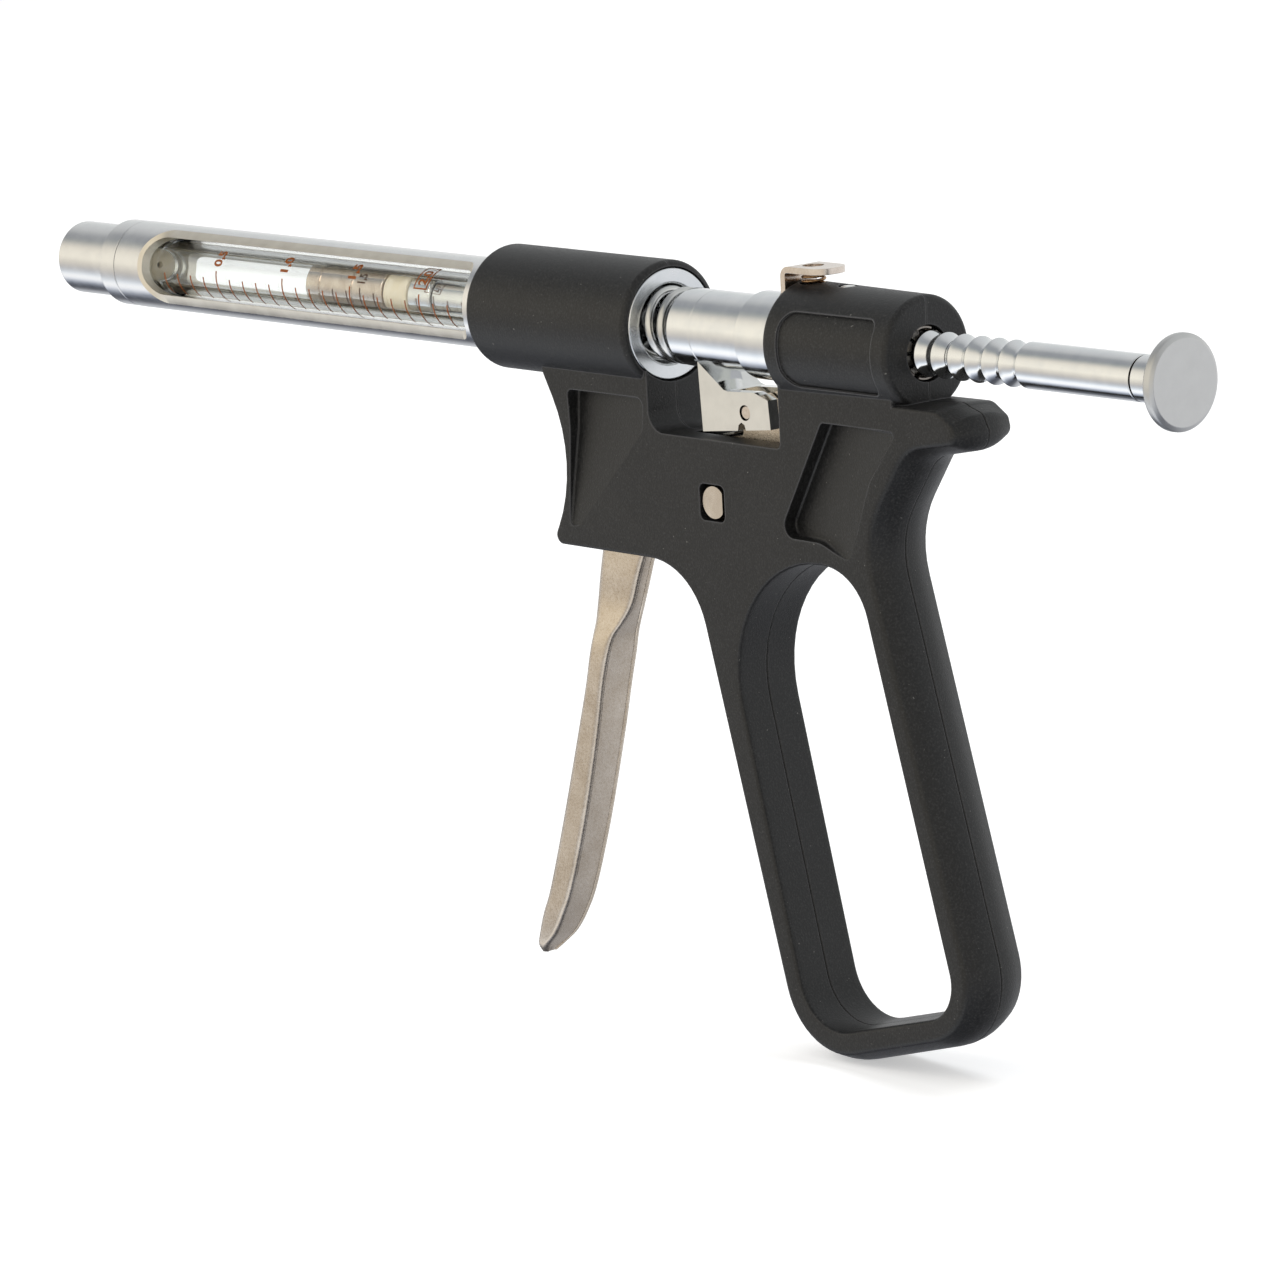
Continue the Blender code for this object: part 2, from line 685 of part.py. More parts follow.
add_piece("needle_cone", turned_ring(cone_profile, SMALL_ROUND), "satin_steel")

# Glass barrel and what seals and clamps it
seal_front = spigot_end + FACE_GAP
glass_front = seal_front + GASKET_LENGTH + FACE_GAP
gasket_profile = sleeve_profile(seal_front, seal_front + GASKET_LENGTH, CONE_BORE_R, GLASS_R)
add_piece("front_gasket", turned_ring(gasket_profile, 32), "cream_ptfe")
glass_profile = sleeve_profile(glass_front, GLASS_REAR_X, BORE_R, GLASS_R, 0.2)
add_piece("glass_barrel", turned_ring(glass_profile), "clear_glass")
rear_seal = GLASS_REAR_X + FACE_GAP
rod_way_r = ROD_R + FACE_GAP
rear_profile = sleeve_profile(rear_seal, rear_seal + GASKET_LENGTH, rod_way_r, GLASS_R)
add_piece("rear_gasket", turned_ring(rear_profile, 32), "dark_rubber")
clamp_x = rear_seal + GASKET_LENGTH + FACE_GAP
clamp_profile = sleeve_profile(clamp_x, clamp_x + CLAMP_LENGTH, rod_way_r, tube_inner - FIT, 0.3)
add_piece("barrel_clamp_ring", turned_ring(clamp_profile, 32), "satin_steel")

# Plunger: piston, slim rod, ribbed rod and knob
piston_x = ZERO_X + DOSES_LEFT * DOSE_PITCH
piston_r = BORE_R - PISTON_CLEARANCE
piston_end = piston_x + PISTON_LENGTH
ribs_start = RIBS_END_X - RIB_COUNT * DOSE_PITCH
slim_hole = PISTON_STUD_R + FIT
piston_profile = [
    (piston_x, 0.25), (piston_x, piston_r - 0.2), (piston_x + 0.2, piston_r),
    (piston_end, piston_r), (piston_end, slim_hole),
    (piston_x + PISTON_CROWN, slim_hole), (piston_x + PISTON_CROWN, 0.25),
]
add_piece("piston", turned_ring(piston_profile, 32), "polished_steel", PLUNGER)
ring_x = piston_end + FACE_GAP
ring_end = ring_x + RING_LENGTH
ring_profile = sleeve_profile(ring_x, ring_end, slim_hole, piston_r - 0.1, 0.2)
add_piece("piston_ring", turned_ring(ring_profile, 32), "cream_ptfe", PLUNGER)
nut_x = ring_end + FACE_GAP
nut_end = nut_x + NUT_LENGTH
nut_profile = sleeve_profile(nut_x, nut_end, slim_hole, piston_r - 0.1, 0.3)
add_piece("piston_nut", turned_ring(nut_profile, 32), "zinc_plate", PLUNGER)
stud_start = piston_x + PISTON_CROWN + FACE_GAP
stud_end = ribs_start + ROD_STUD_LENGTH
slim_profile = [
    (stud_start, PISTON_STUD_R), (nut_end + FACE_GAP, PISTON_STUD_R), (nut_end + FACE_GAP, SLIM_ROD_R),
    (ribs_start - FIT, SLIM_ROD_R), (ribs_start - FIT, ROD_STUD_R), (stud_end, ROD_STUD_R),
]
add_piece("piston_rod", turned(slim_profile, SMALL_ROUND), "zinc_plate", PLUNGER)


def ribbed_profile():
    """Closed profile of the ribbed rod, one half-round groove for each dose."""
    bore = ROD_STUD_R + FIT
    points = [(stud_end + FACE_GAP, 0.15), (stud_end + FACE_GAP, bore), (ribs_start, bore)]
    groove = DOSE_PITCH - CREST_FLAT
    for rib in range(RIB_COUNT):
        crest = ribs_start + rib * DOSE_PITCH + CREST_FLAT
        points.append((crest - CREST_FLAT, ROD_R))
        points.append((crest, ROD_R))
        for share in (0.2, 0.5, 0.8):
            points.append((crest + groove * share, ROD_R - GROOVE_DEPTH * math.sin(math.pi * share)))
    points.append((RIBS_END_X, ROD_R))
    points.append((ROD_END_X, ROD_R))
    points.append((ROD_END_X, KNOB_STUD_R + FIT))
    points.append((ROD_END_X - KNOB_STUD_LENGTH - FACE_GAP, KNOB_STUD_R + FIT))
    points.append((ROD_END_X - KNOB_STUD_LENGTH - FACE_GAP, 0.15))
    return points


add_piece("ribbed_rod", turned_ring(ribbed_profile(), 16), "zinc_plate", PLUNGER)
neck_x = ROD_END_X + NECK_GAP
knob_profile = [
    (ROD_END_X - KNOB_STUD_LENGTH, KNOB_STUD_R), (neck_x, KNOB_STUD_R), (neck_x, ROD_R),
    (KNOB_FACE_X - 5.0, ROD_R),
    (KNOB_FACE_X - 3.4, ROD_R + 0.9), (KNOB_FACE_X - 2.3, KNOB_R - 0.9), (KNOB_FACE_X - 1.7, KNOB_R - 0.2),
    (KNOB_FACE_X - 1.2, KNOB_R), (KNOB_FACE_X - 0.5, KNOB_R - 0.25), (KNOB_FACE_X, KNOB_R - 0.9),
]
add_piece("thumb_knob", turned(knob_profile), "satin_knob", PLUNGER)

# Drive sleeve, notched underneath for the pawl, with the rod catch inside it
catch_x = SLEEVE_REAR_X - FACE_GAP - CATCH_LENGTH
sleeve_inner = ROD_R + SLIDE
sleeve_mesh = turned_ring([
    (SLEEVE_FRONT_X, sleeve_inner), (SLEEVE_FRONT_X, SLEEVE_R - 0.5), (SLEEVE_FRONT_X + 0.5, SLEEVE_R),
    (SLEEVE_STEP_X, SLEEVE_R), (SLEEVE_FLANGE_X, SLEEVE_FLANGE_R), (SLEEVE_REAR_X - 0.3, SLEEVE_FLANGE_R),
    (SLEEVE_REAR_X, SLEEVE_FLANGE_R - 0.3), (SLEEVE_REAR_X, CATCH_R + FIT), (catch_x - FACE_GAP, CATCH_R + FIT),
    (catch_x - FACE_GAP, sleeve_inner),
])
sleeve = add_piece("drive_sleeve", sleeve_mesh, "zinc_plate", SLEEVE)
notch = block((NOTCH_FRONT_X, -9.0, -9.0), (NOTCH_FRONT_X + NOTCH_LENGTH, 9.0, NOTCH_TOP_Z))
cut(sleeve, add_cutter("sleeve_notch", notch, SLEEVE))
catch_mesh = turned_ring([
    (catch_x, ROD_R + 0.15), (catch_x, CATCH_R), (catch_x + CATCH_LENGTH, CATCH_R),
    (catch_x + CATCH_LENGTH, ROD_R + 0.7), (catch_x + 1.0, ROD_R + 0.7), (catch_x + 0.8, ROD_R + 0.15),
], 32)
catch = add_piece("rod_catch", catch_mesh, "spring_steel", SLEEVE)
split = block((catch_x - 1.0, -0.4, 0.0), (catch_x + CATCH_LENGTH + 1.0, 0.4, 9.0))
cut(catch, add_cutter("catch_split", split, SLEEVE))


def coil(name, points, wire, finish, frame=FRAME):
    """Round wire along a list of points."""
    curve = bpy.data.curves.new(name, "CURVE")
    curve.dimensions = "3D"
    curve.bevel_depth = wire * MM
    curve.bevel_resolution = 1
    curve.use_fill_caps = True
    spline = curve.splines.new("POLY")
    spline.points.add(len(points) - 1)
    for point, place in zip(spline.points, points):
        point.co = (*(Vector(place) - Vector(frame[1])) * MM, 1.0)
    curve.materials.append(finishes[finish])
    obj = bpy.data.objects.new(name, curve)
    bpy.context.scene.collection.objects.link(obj)
    obj.parent = frame[0]
    return obj


def helix(start, end, closed_pitch, turns, steps):
    """Distance along a spring's axis and angle at each step: close end turns, open middle."""
    length = end - start
    open_pitch = (length - 2 * closed_pitch) / (turns - 2)
    rows = []
    for step in range(turns * steps + 1):
        turn = step / steps
        if turn <= 1:
            along = turn * closed_pitch
        elif turn >= turns - 1:
            along = length - (turns - turn) * closed_pitch
        else:
            along = closed_pitch + (turn - 1) * open_pitch
        rows.append((start + along, 2 * math.pi * turn))
    return rows


# Return spring between the end of the tube and the drive sleeve
return_start = tube_rear + FACE_GAP + RETURN_WIRE_R
return_end = SLEEVE_FRONT_X - FACE_GAP - RETURN_WIRE_R
return_rows = helix(return_start, return_end, 1.6, 6, 12)
coil("return_spring", [
    (x, RETURN_COIL_R * math.cos(a), RETURN_COIL_R * math.sin(a)) for x, a in return_rows
], RETURN_WIRE_R, "spring_steel")

# Lock plate: its leg drops behind the drive sleeve, and its tab is the release button
leg_x = HOUSING_X - FACE_GAP - PLATE
leg_back = leg_x + PLATE
tab_end = leg_x + TAB_LENGTH
tab_under = TAB_TOP_Z - PLATE
bend = [
    (leg_x, 5.0, 0.0), (leg_x, TAB_TOP_Z, 1.7), (tab_end, TAB_TOP_Z, 0.0), (tab_end, tab_under, 0.0),
    (leg_back, tab_under, 0.5), (leg_back, 5.0, 0.0),
]
lock = add_piece("lock_plate", plate([rounded(bend)], -PLATE_HALF_WIDTH, PLATE_HALF_WIDTH, side_view),
                 "nickel_sheet", LOCK)
slot_half = ROD_R + FIT
leg_knots = [
    (-PLATE_HALF_WIDTH, LEG_SHOULDER_Z + 2.4, 0.0), (-LEG_HALF_WIDTH, LEG_SHOULDER_Z, 1.5),
    (-LEG_HALF_WIDTH, LEG_LOW_Z, 3.5), (LEG_HALF_WIDTH, LEG_LOW_Z, 3.5),
    (LEG_HALF_WIDTH, LEG_SHOULDER_Z, 1.5), (PLATE_HALF_WIDTH, LEG_SHOULDER_Z + 2.4, 0.0),
]
leg_hole = arc(0.0, 0.0, slot_half, 180, 360, 12) + arc(0.0, PRESS + 0.1, slot_half, 0, 180, 12)
leg_mesh = plate([rounded(leg_knots), leg_hole], leg_x, leg_back, end_view)
cut(lock, add_cutter("lock_leg", leg_mesh, LOCK), "UNION")
above_leg = add_cutter("lock_leg_way", plate([leg_hole], leg_x - 1.0, leg_back + 1.0, end_view), LOCK)
cut(lock, above_leg)
cut(lock, add_cutter("tab_hole", post(TAB_HOLE_X, 0.0, 9.0, 14.0, TAB_HOLE_R), LOCK))
tab_trim = rounded([
    (tab_end - TAB_CORNER_R - 1.0, -9.0, 0.0), (tab_end + 2.0, -9.0, 0.0), (tab_end + 2.0, 9.0, 0.0),
    (tab_end - TAB_CORNER_R - 1.0, 9.0, 0.0), (tab_end - TAB_CORNER_R - 1.0, PLATE_HALF_WIDTH - 0.02, 0.0),
    (tab_end - 0.05, PLATE_HALF_WIDTH - 0.02, TAB_CORNER_R),
    (tab_end - 0.05, 0.02 - PLATE_HALF_WIDTH, TAB_CORNER_R),
    (tab_end - TAB_CORNER_R - 1.0, 0.02 - PLATE_HALF_WIDTH, 0.0),
])
cut(lock, add_cutter("tab_corners", plate([tab_trim], 9.0, 14.0, top_view), LOCK))

# Lock spring under the tab
lock_rows = helix(SPRING_SEAT_Z + FACE_GAP + LOCK_WIRE_R, tab_under - FACE_GAP - LOCK_WIRE_R, 0.6, 4, 12)
coil("lock_spring", [
    (TAB_HOLE_X + LOCK_COIL_R * math.cos(a), LOCK_COIL_R * math.sin(a), z) for z, a in lock_rows
], LOCK_WIRE_R, "bronze_wire")

# Guide screw and the castellated bush that it holds
guide_x = HOUSING_X + HOUSING_LENGTH - GUIDE_LENGTH
guide_end = guide_x + GUIDE_LENGTH - GUIDE_INSET
collar_x = guide_end - GUIDE_TEETH
guide_mesh = turned_ring([
    (guide_x, ROD_R + SLIDE), (guide_x, GUIDE_R), (collar_x, GUIDE_R), (collar_x, GUIDE_TEETH_R),
    (guide_end, GUIDE_TEETH_R), (guide_end, ROD_R + SLIDE),
], 32)
guide = add_piece("rear_guide_bush", guide_mesh, "zinc_plate")
notch_x = guide_end - GUIDE_NOTCH_DEPTH
for index in range(GUIDE_NOTCHES // 2):
    shape = block((notch_x, -9.0, -GUIDE_NOTCH / 2), (notch_x + 6.0, 9.0, GUIDE_NOTCH / 2))
    turn = Matrix.Rotation(2 * math.pi * index / GUIDE_NOTCHES, 4, "X")
    bmesh.ops.transform(shape, matrix=turn, verts=shape.verts)
    cut(guide, add_cutter(f"guide_notch_{index}", shape))
cut(guide, add_cutter("guide_screw_seat", post(GUIDE_SCREW_X, 0.0, GUIDE_R - 1.2, 9.0, GUIDE_SCREW_R + FIT)))
screw_top = HOUSING_FRONT_R - 0.15
screw = bmesh.new()
screw_rings = []
for z, radius in ((GUIDE_R - 0.9, GUIDE_SCREW_R), (screw_top - 0.5, GUIDE_SCREW_R),
                  (screw_top - 0.15, GUIDE_SCREW_R * 0.8), (screw_top, GUIDE_SCREW_R * 0.4)):
    screw_rings.append([screw.verts.new((x, y, z)) for x, y in circle(GUIDE_SCREW_X, 0.0, radius, 20)])
for first, second in zip(screw_rings, screw_rings[1:]):
    join_rings(screw, first, second)
screw.faces.new(screw_rings[0])
screw.faces.new(screw_rings[-1])
add_piece("guide_screw", closed(screw), "polished_steel")

# Trigger lever: a plate inside the body that widens into the finger grip
LEVER_PLATE = [
    (-18.2, -36.8, 0.0), (-16.4, -33.4, 2.0), (-5.5, -27.6, 3.0), (6.3, -22.0, 3.0), (13.0, -17.0, 1.0),
    (18.0, -16.2, 0.4), (18.4, -13.0, 0.0), (19.0, -10.6, 0.0), (21.2, -9.4, 1.0), (23.6, -10.9, 0.6),
    (26.6, -14.4, 0.6), (30.0, -14.9, 0.5), (30.2, -17.2, 1.0), (21.2, -28.0, 4.0), (17.5, -32.2, 3.0),
    (7.0, -32.6, 3.0), (-1.5, -34.4, 2.0), (-6.9, -36.8, 0.0),
]
# Stations down the finger grip: front (x, z), rear (x, z) and half width
LEVER_STATIONS = [
    (-18.2, -36.5, -7.2, -36.5, 1.7),
    (-19.3, -41.5, -9.3, -41.5, 1.95),
    (-20.3, -46.5, -11.3, -46.5, 2.0),
    (-20.7, -49.8, -13.2, -49.6, 2.6),
    (-20.9, -52.6, -15.0, -52.2, 3.4),
    (-21.6, -56.0, -16.2, -55.5, 3.75),
    (-22.9, -61.4, -17.8, -60.8, 3.8),
    (-25.9, -70.0, -20.0, -69.5, 3.65),
    (-30.9, -84.8, -24.3, -84.0, 3.5),
    (-35.2, -96.8, -28.6, -95.8, 3.4),
    (-37.4, -101.4, -31.3, -101.0, 3.3),
    (-38.7, -104.8, -33.8, -104.6, 3.0),
    (-39.3, -107.0, -36.4, -107.0, 2.5),
    (-38.9, -108.4, -37.9, -108.5, 1.5),
]
# Half of the grip's cross section: share of its depth from the rear, share of its half width
LEVER_SECTION = [(0.0, 0.84), (0.08, 1.0), (0.55, 1.0), (0.84, 0.72), (1.0, 0.25)]


def finger_grip():
    """Lofted finger grip, flat at the rear and rounded at the front."""
    mesh = bmesh.new()
    rings = []
    for front_x, front_z, rear_x, rear_z, half in LEVER_STATIONS:
        right = [(t, s * half) for t, s in LEVER_SECTION]
        left = [(t, -s * half) for t, s in reversed(LEVER_SECTION)]
        ring = []
        for t, y in right + left:
            x = rear_x + (front_x - rear_x) * t
            z = rear_z + (front_z - rear_z) * t
            ring.append(mesh.verts.new((x, y, z)))
        rings.append(ring)
    for first, second in zip(rings, rings[1:]):
        join_rings(mesh, first, second)
    mesh.faces.new(rings[0])
    mesh.faces.new(rings[-1])
    return closed(mesh)


pivot_hole = circle(PIVOT_X, PIVOT_Z, PIVOT_R + FIT)
pawl_hole = circle(PAWL_PIN_X, PAWL_PIN_Z, PAWL_PIN_R + FIT, 16)
lever_mesh = plate([rounded(LEVER_PLATE), pivot_hole, pawl_hole], -LEVER_HALF_WIDTH, LEVER_HALF_WIDTH, side_view)
lever = add_piece("trigger_lever", lever_mesh, "nickel_sheet", TRIGGER)
cut(lever, add_cutter("finger_grip_shape", finger_grip(), TRIGGER), "UNION")

# Pivot pin, flattened on its rear side
flat_x = PIVOT_X + PIVOT_R * 0.78
pin_outline = [(min(x, flat_x), z) for x, z in circle(PIVOT_X, PIVOT_Z, PIVOT_R)]
pin_half = HALF_WIDTH - 0.35
add_piece("trigger_pivot_pin", plate([pin_outline], -pin_half, pin_half, side_view), "nickel_sheet")

# Pawl block, forked over the lever and seated under the drive sleeve
PAWL_OUTLINE = [
    (10.5, -4.7), (16.4, -8.7), (17.4, -8.9), (23.6, -8.6), (26.7, -9.6), (27.1, -14.2), (21.3, -14.78),
    (21.0, -13.95), (20.3, -13.6), (19.6, -14.05), (19.4, -14.97), (11.1, -15.8),
]
pawl_bore = circle(PAWL_PIN_X, PAWL_PIN_Z, PAWL_HOLE_R, 20)
pawl_mesh = plate([PAWL_OUTLINE, pawl_bore], -PAWL_HALF_WIDTH, PAWL_HALF_WIDTH, side_view)
pawl = add_piece("pawl_block", pawl_mesh, "polished_steel", PAWL)
fork_low = (PAWL_PIN_X - FORK_REACH, -SLOT_HALF_WIDTH, PAWL_PIN_Z - BEYOND)
fork = block(fork_low, (PAWL_PIN_X + BEYOND, SLOT_HALF_WIDTH, PAWL_PIN_Z + BEYOND))
cut(pawl, add_cutter("pawl_fork", fork, PAWL))
add_piece("pawl_pin", cross_pin(PAWL_PIN_X, PAWL_PIN_Z, PAWL_PIN_R, PAWL_HALF_WIDTH - 0.25, 16),
          "nickel_sheet", TRIGGER)

# Leaf spring on the lever that lifts the pawl
leaf_line = [(7.6, -20.4), (12.4, -16.8), (15.6, -16.15)]
leaf_outline = leaf_line + [(x + 0.1, z + 0.35) for x, z in reversed(leaf_line)]
leaf_mesh = plate([leaf_outline], -LEVER_HALF_WIDTH + 0.2, LEVER_HALF_WIDTH - 0.2, side_view)
add_piece("pawl_leaf_spring", leaf_mesh, "spring_steel", TRIGGER)
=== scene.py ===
# %% [markdown]
# # A repeating veterinary syringe on a white studio table
#
# The object is a dosing gun for animals. A black moulded grip carries a turned steel tube with a
# glass barrel in it, and a ribbed rod pushes a piston forward by one rib for each pull of the trigger.
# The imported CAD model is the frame: it fixes where every part is and which parts move together.
# This lesson makes a finer skin for each part that shows, and gives each one the finish of the real thing.

# %% Load the frame
import math

import bmesh
import bpy
from mathutils import Matrix, Vector


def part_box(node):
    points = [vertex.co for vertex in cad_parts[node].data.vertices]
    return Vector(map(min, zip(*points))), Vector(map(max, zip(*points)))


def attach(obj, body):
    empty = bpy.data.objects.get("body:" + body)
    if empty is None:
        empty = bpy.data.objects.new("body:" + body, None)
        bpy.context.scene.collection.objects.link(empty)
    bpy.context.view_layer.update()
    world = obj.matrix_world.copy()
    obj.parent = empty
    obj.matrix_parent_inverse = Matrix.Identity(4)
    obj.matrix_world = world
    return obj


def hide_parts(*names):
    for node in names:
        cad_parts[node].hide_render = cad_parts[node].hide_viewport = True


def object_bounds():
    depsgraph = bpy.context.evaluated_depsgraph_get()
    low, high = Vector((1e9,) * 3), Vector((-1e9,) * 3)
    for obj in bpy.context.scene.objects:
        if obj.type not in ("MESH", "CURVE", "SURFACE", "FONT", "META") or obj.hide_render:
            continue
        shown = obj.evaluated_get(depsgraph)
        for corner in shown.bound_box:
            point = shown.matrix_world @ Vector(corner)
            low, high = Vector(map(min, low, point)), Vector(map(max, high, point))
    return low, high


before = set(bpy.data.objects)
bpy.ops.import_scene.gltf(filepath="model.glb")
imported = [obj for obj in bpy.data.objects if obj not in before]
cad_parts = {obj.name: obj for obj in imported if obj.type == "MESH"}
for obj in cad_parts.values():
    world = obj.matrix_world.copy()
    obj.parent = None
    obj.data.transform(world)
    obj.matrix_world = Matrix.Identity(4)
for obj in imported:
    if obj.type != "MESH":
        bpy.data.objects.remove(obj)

scene = bpy.context.scene
cad_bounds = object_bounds()

# %% [markdown]
# ## One working frame for every part
#
# A syringe is drawn by its maker from the barrel's axis, in millimetres, so the parts here are too.
# X runs along the barrel with the needle end at -X, Y runs across it and Z is up.
# The back face of the plated ring is x = 0. Two boxes of the frame say where that point lies.

# %% Find the barrel's axis in the frame
MM = 0.001
RING_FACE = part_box("barrel_bush")[1][0]
knob_low, knob_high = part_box("thumb_knob")
AXIS_Z = (knob_low[2] + knob_high[2]) / 2
print("ring face at", round(RING_FACE, 5), "axis at height", round(AXIS_Z, 5))

# %% [markdown]
# ## The camera
#
# The photograph was taken with a long lens from behind the knob and a little above the barrel.
# A long lens is a narrow field of view, so the far end of the barrel is hardly smaller than the near end.
# The angles and the distance below give that view of the frame, on a square picture.

# %% Place the camera
AZIMUTH = math.radians(49.546)
ELEVATION = math.radians(10.995)
ROLL = math.radians(2.891)
DISTANCE = 1.053303
AIM = Vector((-0.011521, 0.0, -0.052679)) + Vector((RING_FACE, 0.0, AXIS_Z))
FOCAL_PIXELS = 6500.0
PICTURE = 1280
SENSOR = 36.0

back = Vector((math.sin(AZIMUTH) * math.cos(ELEVATION), -math.cos(AZIMUTH) * math.cos(ELEVATION),
               math.sin(ELEVATION)))
right = (-back).cross(Vector((0, 0, 1))).normalized()
up = right.cross(-back)
rolled_right = right * math.cos(ROLL) - up * math.sin(ROLL)
rolled_up = up * math.cos(ROLL) + right * math.sin(ROLL)
lens = bpy.data.cameras.new("studio_camera")
lens.sensor_width = SENSOR
lens.lens = FOCAL_PIXELS / PICTURE * SENSOR
camera = bpy.data.objects.new("studio_camera", lens)
turn = Matrix((rolled_right, rolled_up, back)).transposed().to_4x4()
camera.matrix_world = Matrix.Translation(AIM + back * DISTANCE) @ turn
scene.collection.objects.link(camera)
scene.camera = camera
print("lens", round(lens.lens, 1), "mm, camera at", [round(c, 3) for c in camera.matrix_world.translation])

# %% [markdown]
# ## Colours and nodes
#
# A hex colour is written for the eye, and a shader adds up light, so each colour is turned to linear.
# Small helpers add a node with its inputs, work out numbers, and blend colours and shaders.

# %% Colour and node helpers
def linear(hex_colour):
    """Linear RGBA of an sRGB hex colour."""
    channels = [int(hex_colour[k:k + 2], 16) / 255 for k in (1, 3, 5)]
    return (*[c / 12.92 if c <= 0.04045 else ((c + 0.055) / 1.055) ** 2.4 for c in channels], 1.0)


def feed(tree, node, inputs):
    """Fill inputs of a node with values or with other nodes' sockets."""
    for name, value in inputs.items():
        if isinstance(value, bpy.types.NodeSocket):
            tree.links.new(value, node.inputs[name])
        else:
            node.inputs[name].default_value = value


def add(tree, kind, inputs=None, **settings):
    """Shader node of a kind, with its settings and inputs."""
    node = tree.nodes.new("ShaderNode" + kind)
    for name, value in settings.items():
        setattr(node, name, value)
    feed(tree, node, inputs or {})
    return node


def calc(tree, operation, first, second):
    """Number worked out from two others."""
    return add(tree, "Math", {0: first, 1: second}, operation=operation).outputs[0]


def blend(tree, share, first, second):
    """Colour between two others."""
    return add(tree, "Mix", {0: share, 6: first, 7: second}, data_type="RGBA").outputs[2]


def mix_shader(tree, share, first, second):
    """Shader between two others."""
    return add(tree, "MixShader", {0: share, 1: first, 2: second}).outputs[0]


def between(tree, fac, low, high, start=0.3, end=0.7):
    """Number that follows a pattern between two values."""
    return add(tree, "MapRange", {"Value": fac, "From Min": start, "From Max": end,
                                  "To Min": low, "To Max": high}).outputs["Result"]


def tint(tree, fac, rows):
    """Colour that follows a pattern through (place, hex colour) rows."""
    ramp = add(tree, "ValToRGB", {"Fac": fac})
    stops = ramp.color_ramp.elements
    for index, (place, colour) in enumerate((rows[0], rows[-1])):
        stops[index].position = place
        stops[index].color = linear(colour)
    for place, colour in rows[1:-1]:
        stops.new(place).color = linear(colour)
    return ramp.outputs["Color"]


def new_finish(name):
    """Material with its node tree and its Principled shader."""
    material = bpy.data.materials.new(name)
    material.use_nodes = True
    tree = material.node_tree
    return material, tree, tree.nodes["Principled BSDF"]


print("charcoal in linear", [round(c, 4) for c in linear("#2f2f30")])

# %% [markdown]
# ## The studio round the syringe
#
# Polished metal has no look of its own: it shows the room. A product studio is white, with soft boxes
# and grey cards that draw long bands down a turned tube. The bands are placed by their angle about the
# barrel's axis, from the front (0) over the top (+) or under the table (-) to the back (180), in degrees.
# One colour ramp holds the way under the table, and a second one the way over the top.
# Camera and transmission rays see plain white, and rays that metal has sent on see the room with its
# cards, also where they leave through the glass: such a ray has crossed more than two skins of glass. A
# ray that only turned back inside the glass wall still sees white. The light on matt surfaces is even.

# %% Make the world
STUDIO_BANDS = [
    (-180, "#e2e3e4"), (-165, "#dcdddf"), (-145, "#c6c8cc"), (-127, "#a8aab0"), (-112, "#5a5c62"),
    (-98, "#4c4f57"), (-88, "#6f747f"), (-78, "#a3a9b5"), (-69, "#e6eaf2"), (-62, "#ffffff"),
    (-54, "#fbfdff"), (-47, "#dfe5ec"), (-39, "#c3c6cb"), (-30, "#b9b8b9"), (-20, "#c6c1ba"),
    (-6, "#ddd7cb"), (6, "#efe9db"), (24, "#eae4d7"), (34, "#e2dccf"), (40, "#dad4c8"),
    (48, "#c5c1b9"), (58, "#a0a29f"), (68, "#8f9295"), (84, "#95979a"), (94, "#a9abac"),
    (104, "#b9babb"), (125, "#c4c6c7"), (152, "#cccfcf"), (170, "#e0e1e1"), (180, "#e2e3e4"),
]
RAMP_JOIN = 6
STUDIO_GAIN = 1.18
MATT_LIGHT = 0.62
WHITE = linear("#ffffff")

world = bpy.data.worlds.new("studio_room")
scene.world = world
world.use_nodes = True
tree = world.node_tree
tree.nodes.clear()
direction = add(tree, "TexCoord").outputs["Generated"]
parts = add(tree, "SeparateXYZ", {"Vector": direction}).outputs
angle = calc(tree, "ARCTAN2", parts["Z"], calc(tree, "MULTIPLY", parts["Y"], -1.0))
share = between(tree, angle, 0.0, 1.0, -math.pi, math.pi)
under = [((degrees + 180) / 360, colour) for degrees, colour in STUDIO_BANDS if degrees <= RAMP_JOIN]
over = [((degrees + 180) / 360, colour) for degrees, colour in STUDIO_BANDS if degrees >= RAMP_JOIN]
is_over = calc(tree, "GREATER_THAN", share, (RAMP_JOIN + 180) / 360)
bands = blend(tree, is_over, tint(tree, share, under), tint(tree, share, over))


def ray_kinds(tree):
    """Whether a ray comes straight or through glass from the camera, and whether metal has sent it on."""
    path = add(tree, "LightPath").outputs
    straight = calc(tree, "MAXIMUM", path["Is Camera Ray"], path["Is Transmission Ray"])
    bounced = calc(tree, "GREATER_THAN", path["Glossy Depth"], 0.5)
    deep = calc(tree, "GREATER_THAN", path["Transmission Depth"], 2.5)
    in_air = calc(tree, "SUBTRACT", 1.0, path["Is Transmission Ray"])
    return straight, calc(tree, "MULTIPLY", bounced, calc(tree, "MAXIMUM", deep, in_air))


def background(tree, colour, strength):
    """Even light of a colour."""
    return add(tree, "Background", {"Color": colour, "Strength": strength}).outputs[0]


seen, mirrored = ray_kinds(tree)
plain = mix_shader(tree, seen, background(tree, WHITE, MATT_LIGHT), background(tree, WHITE, 1.0))
room = background(tree, bands, STUDIO_GAIN)
add(tree, "OutputWorld", {"Surface": mix_shader(tree, mirrored, plain, room)})
print("studio bands", len(STUDIO_BANDS))

# %% [markdown]
# The table is one wide pale sheet. It takes the syringe's soft shadow as a matt sheet does. To the camera
# and through glass it also glows a little, so that it comes out white, and it lets reflections
# through to the white room behind it. It counts as stage, so it isn't part of the object.

# %% Lay the table
TABLE_HALF = 6.0
TABLE_GLOW = 0.44
PAPER_GRAIN = 900.0


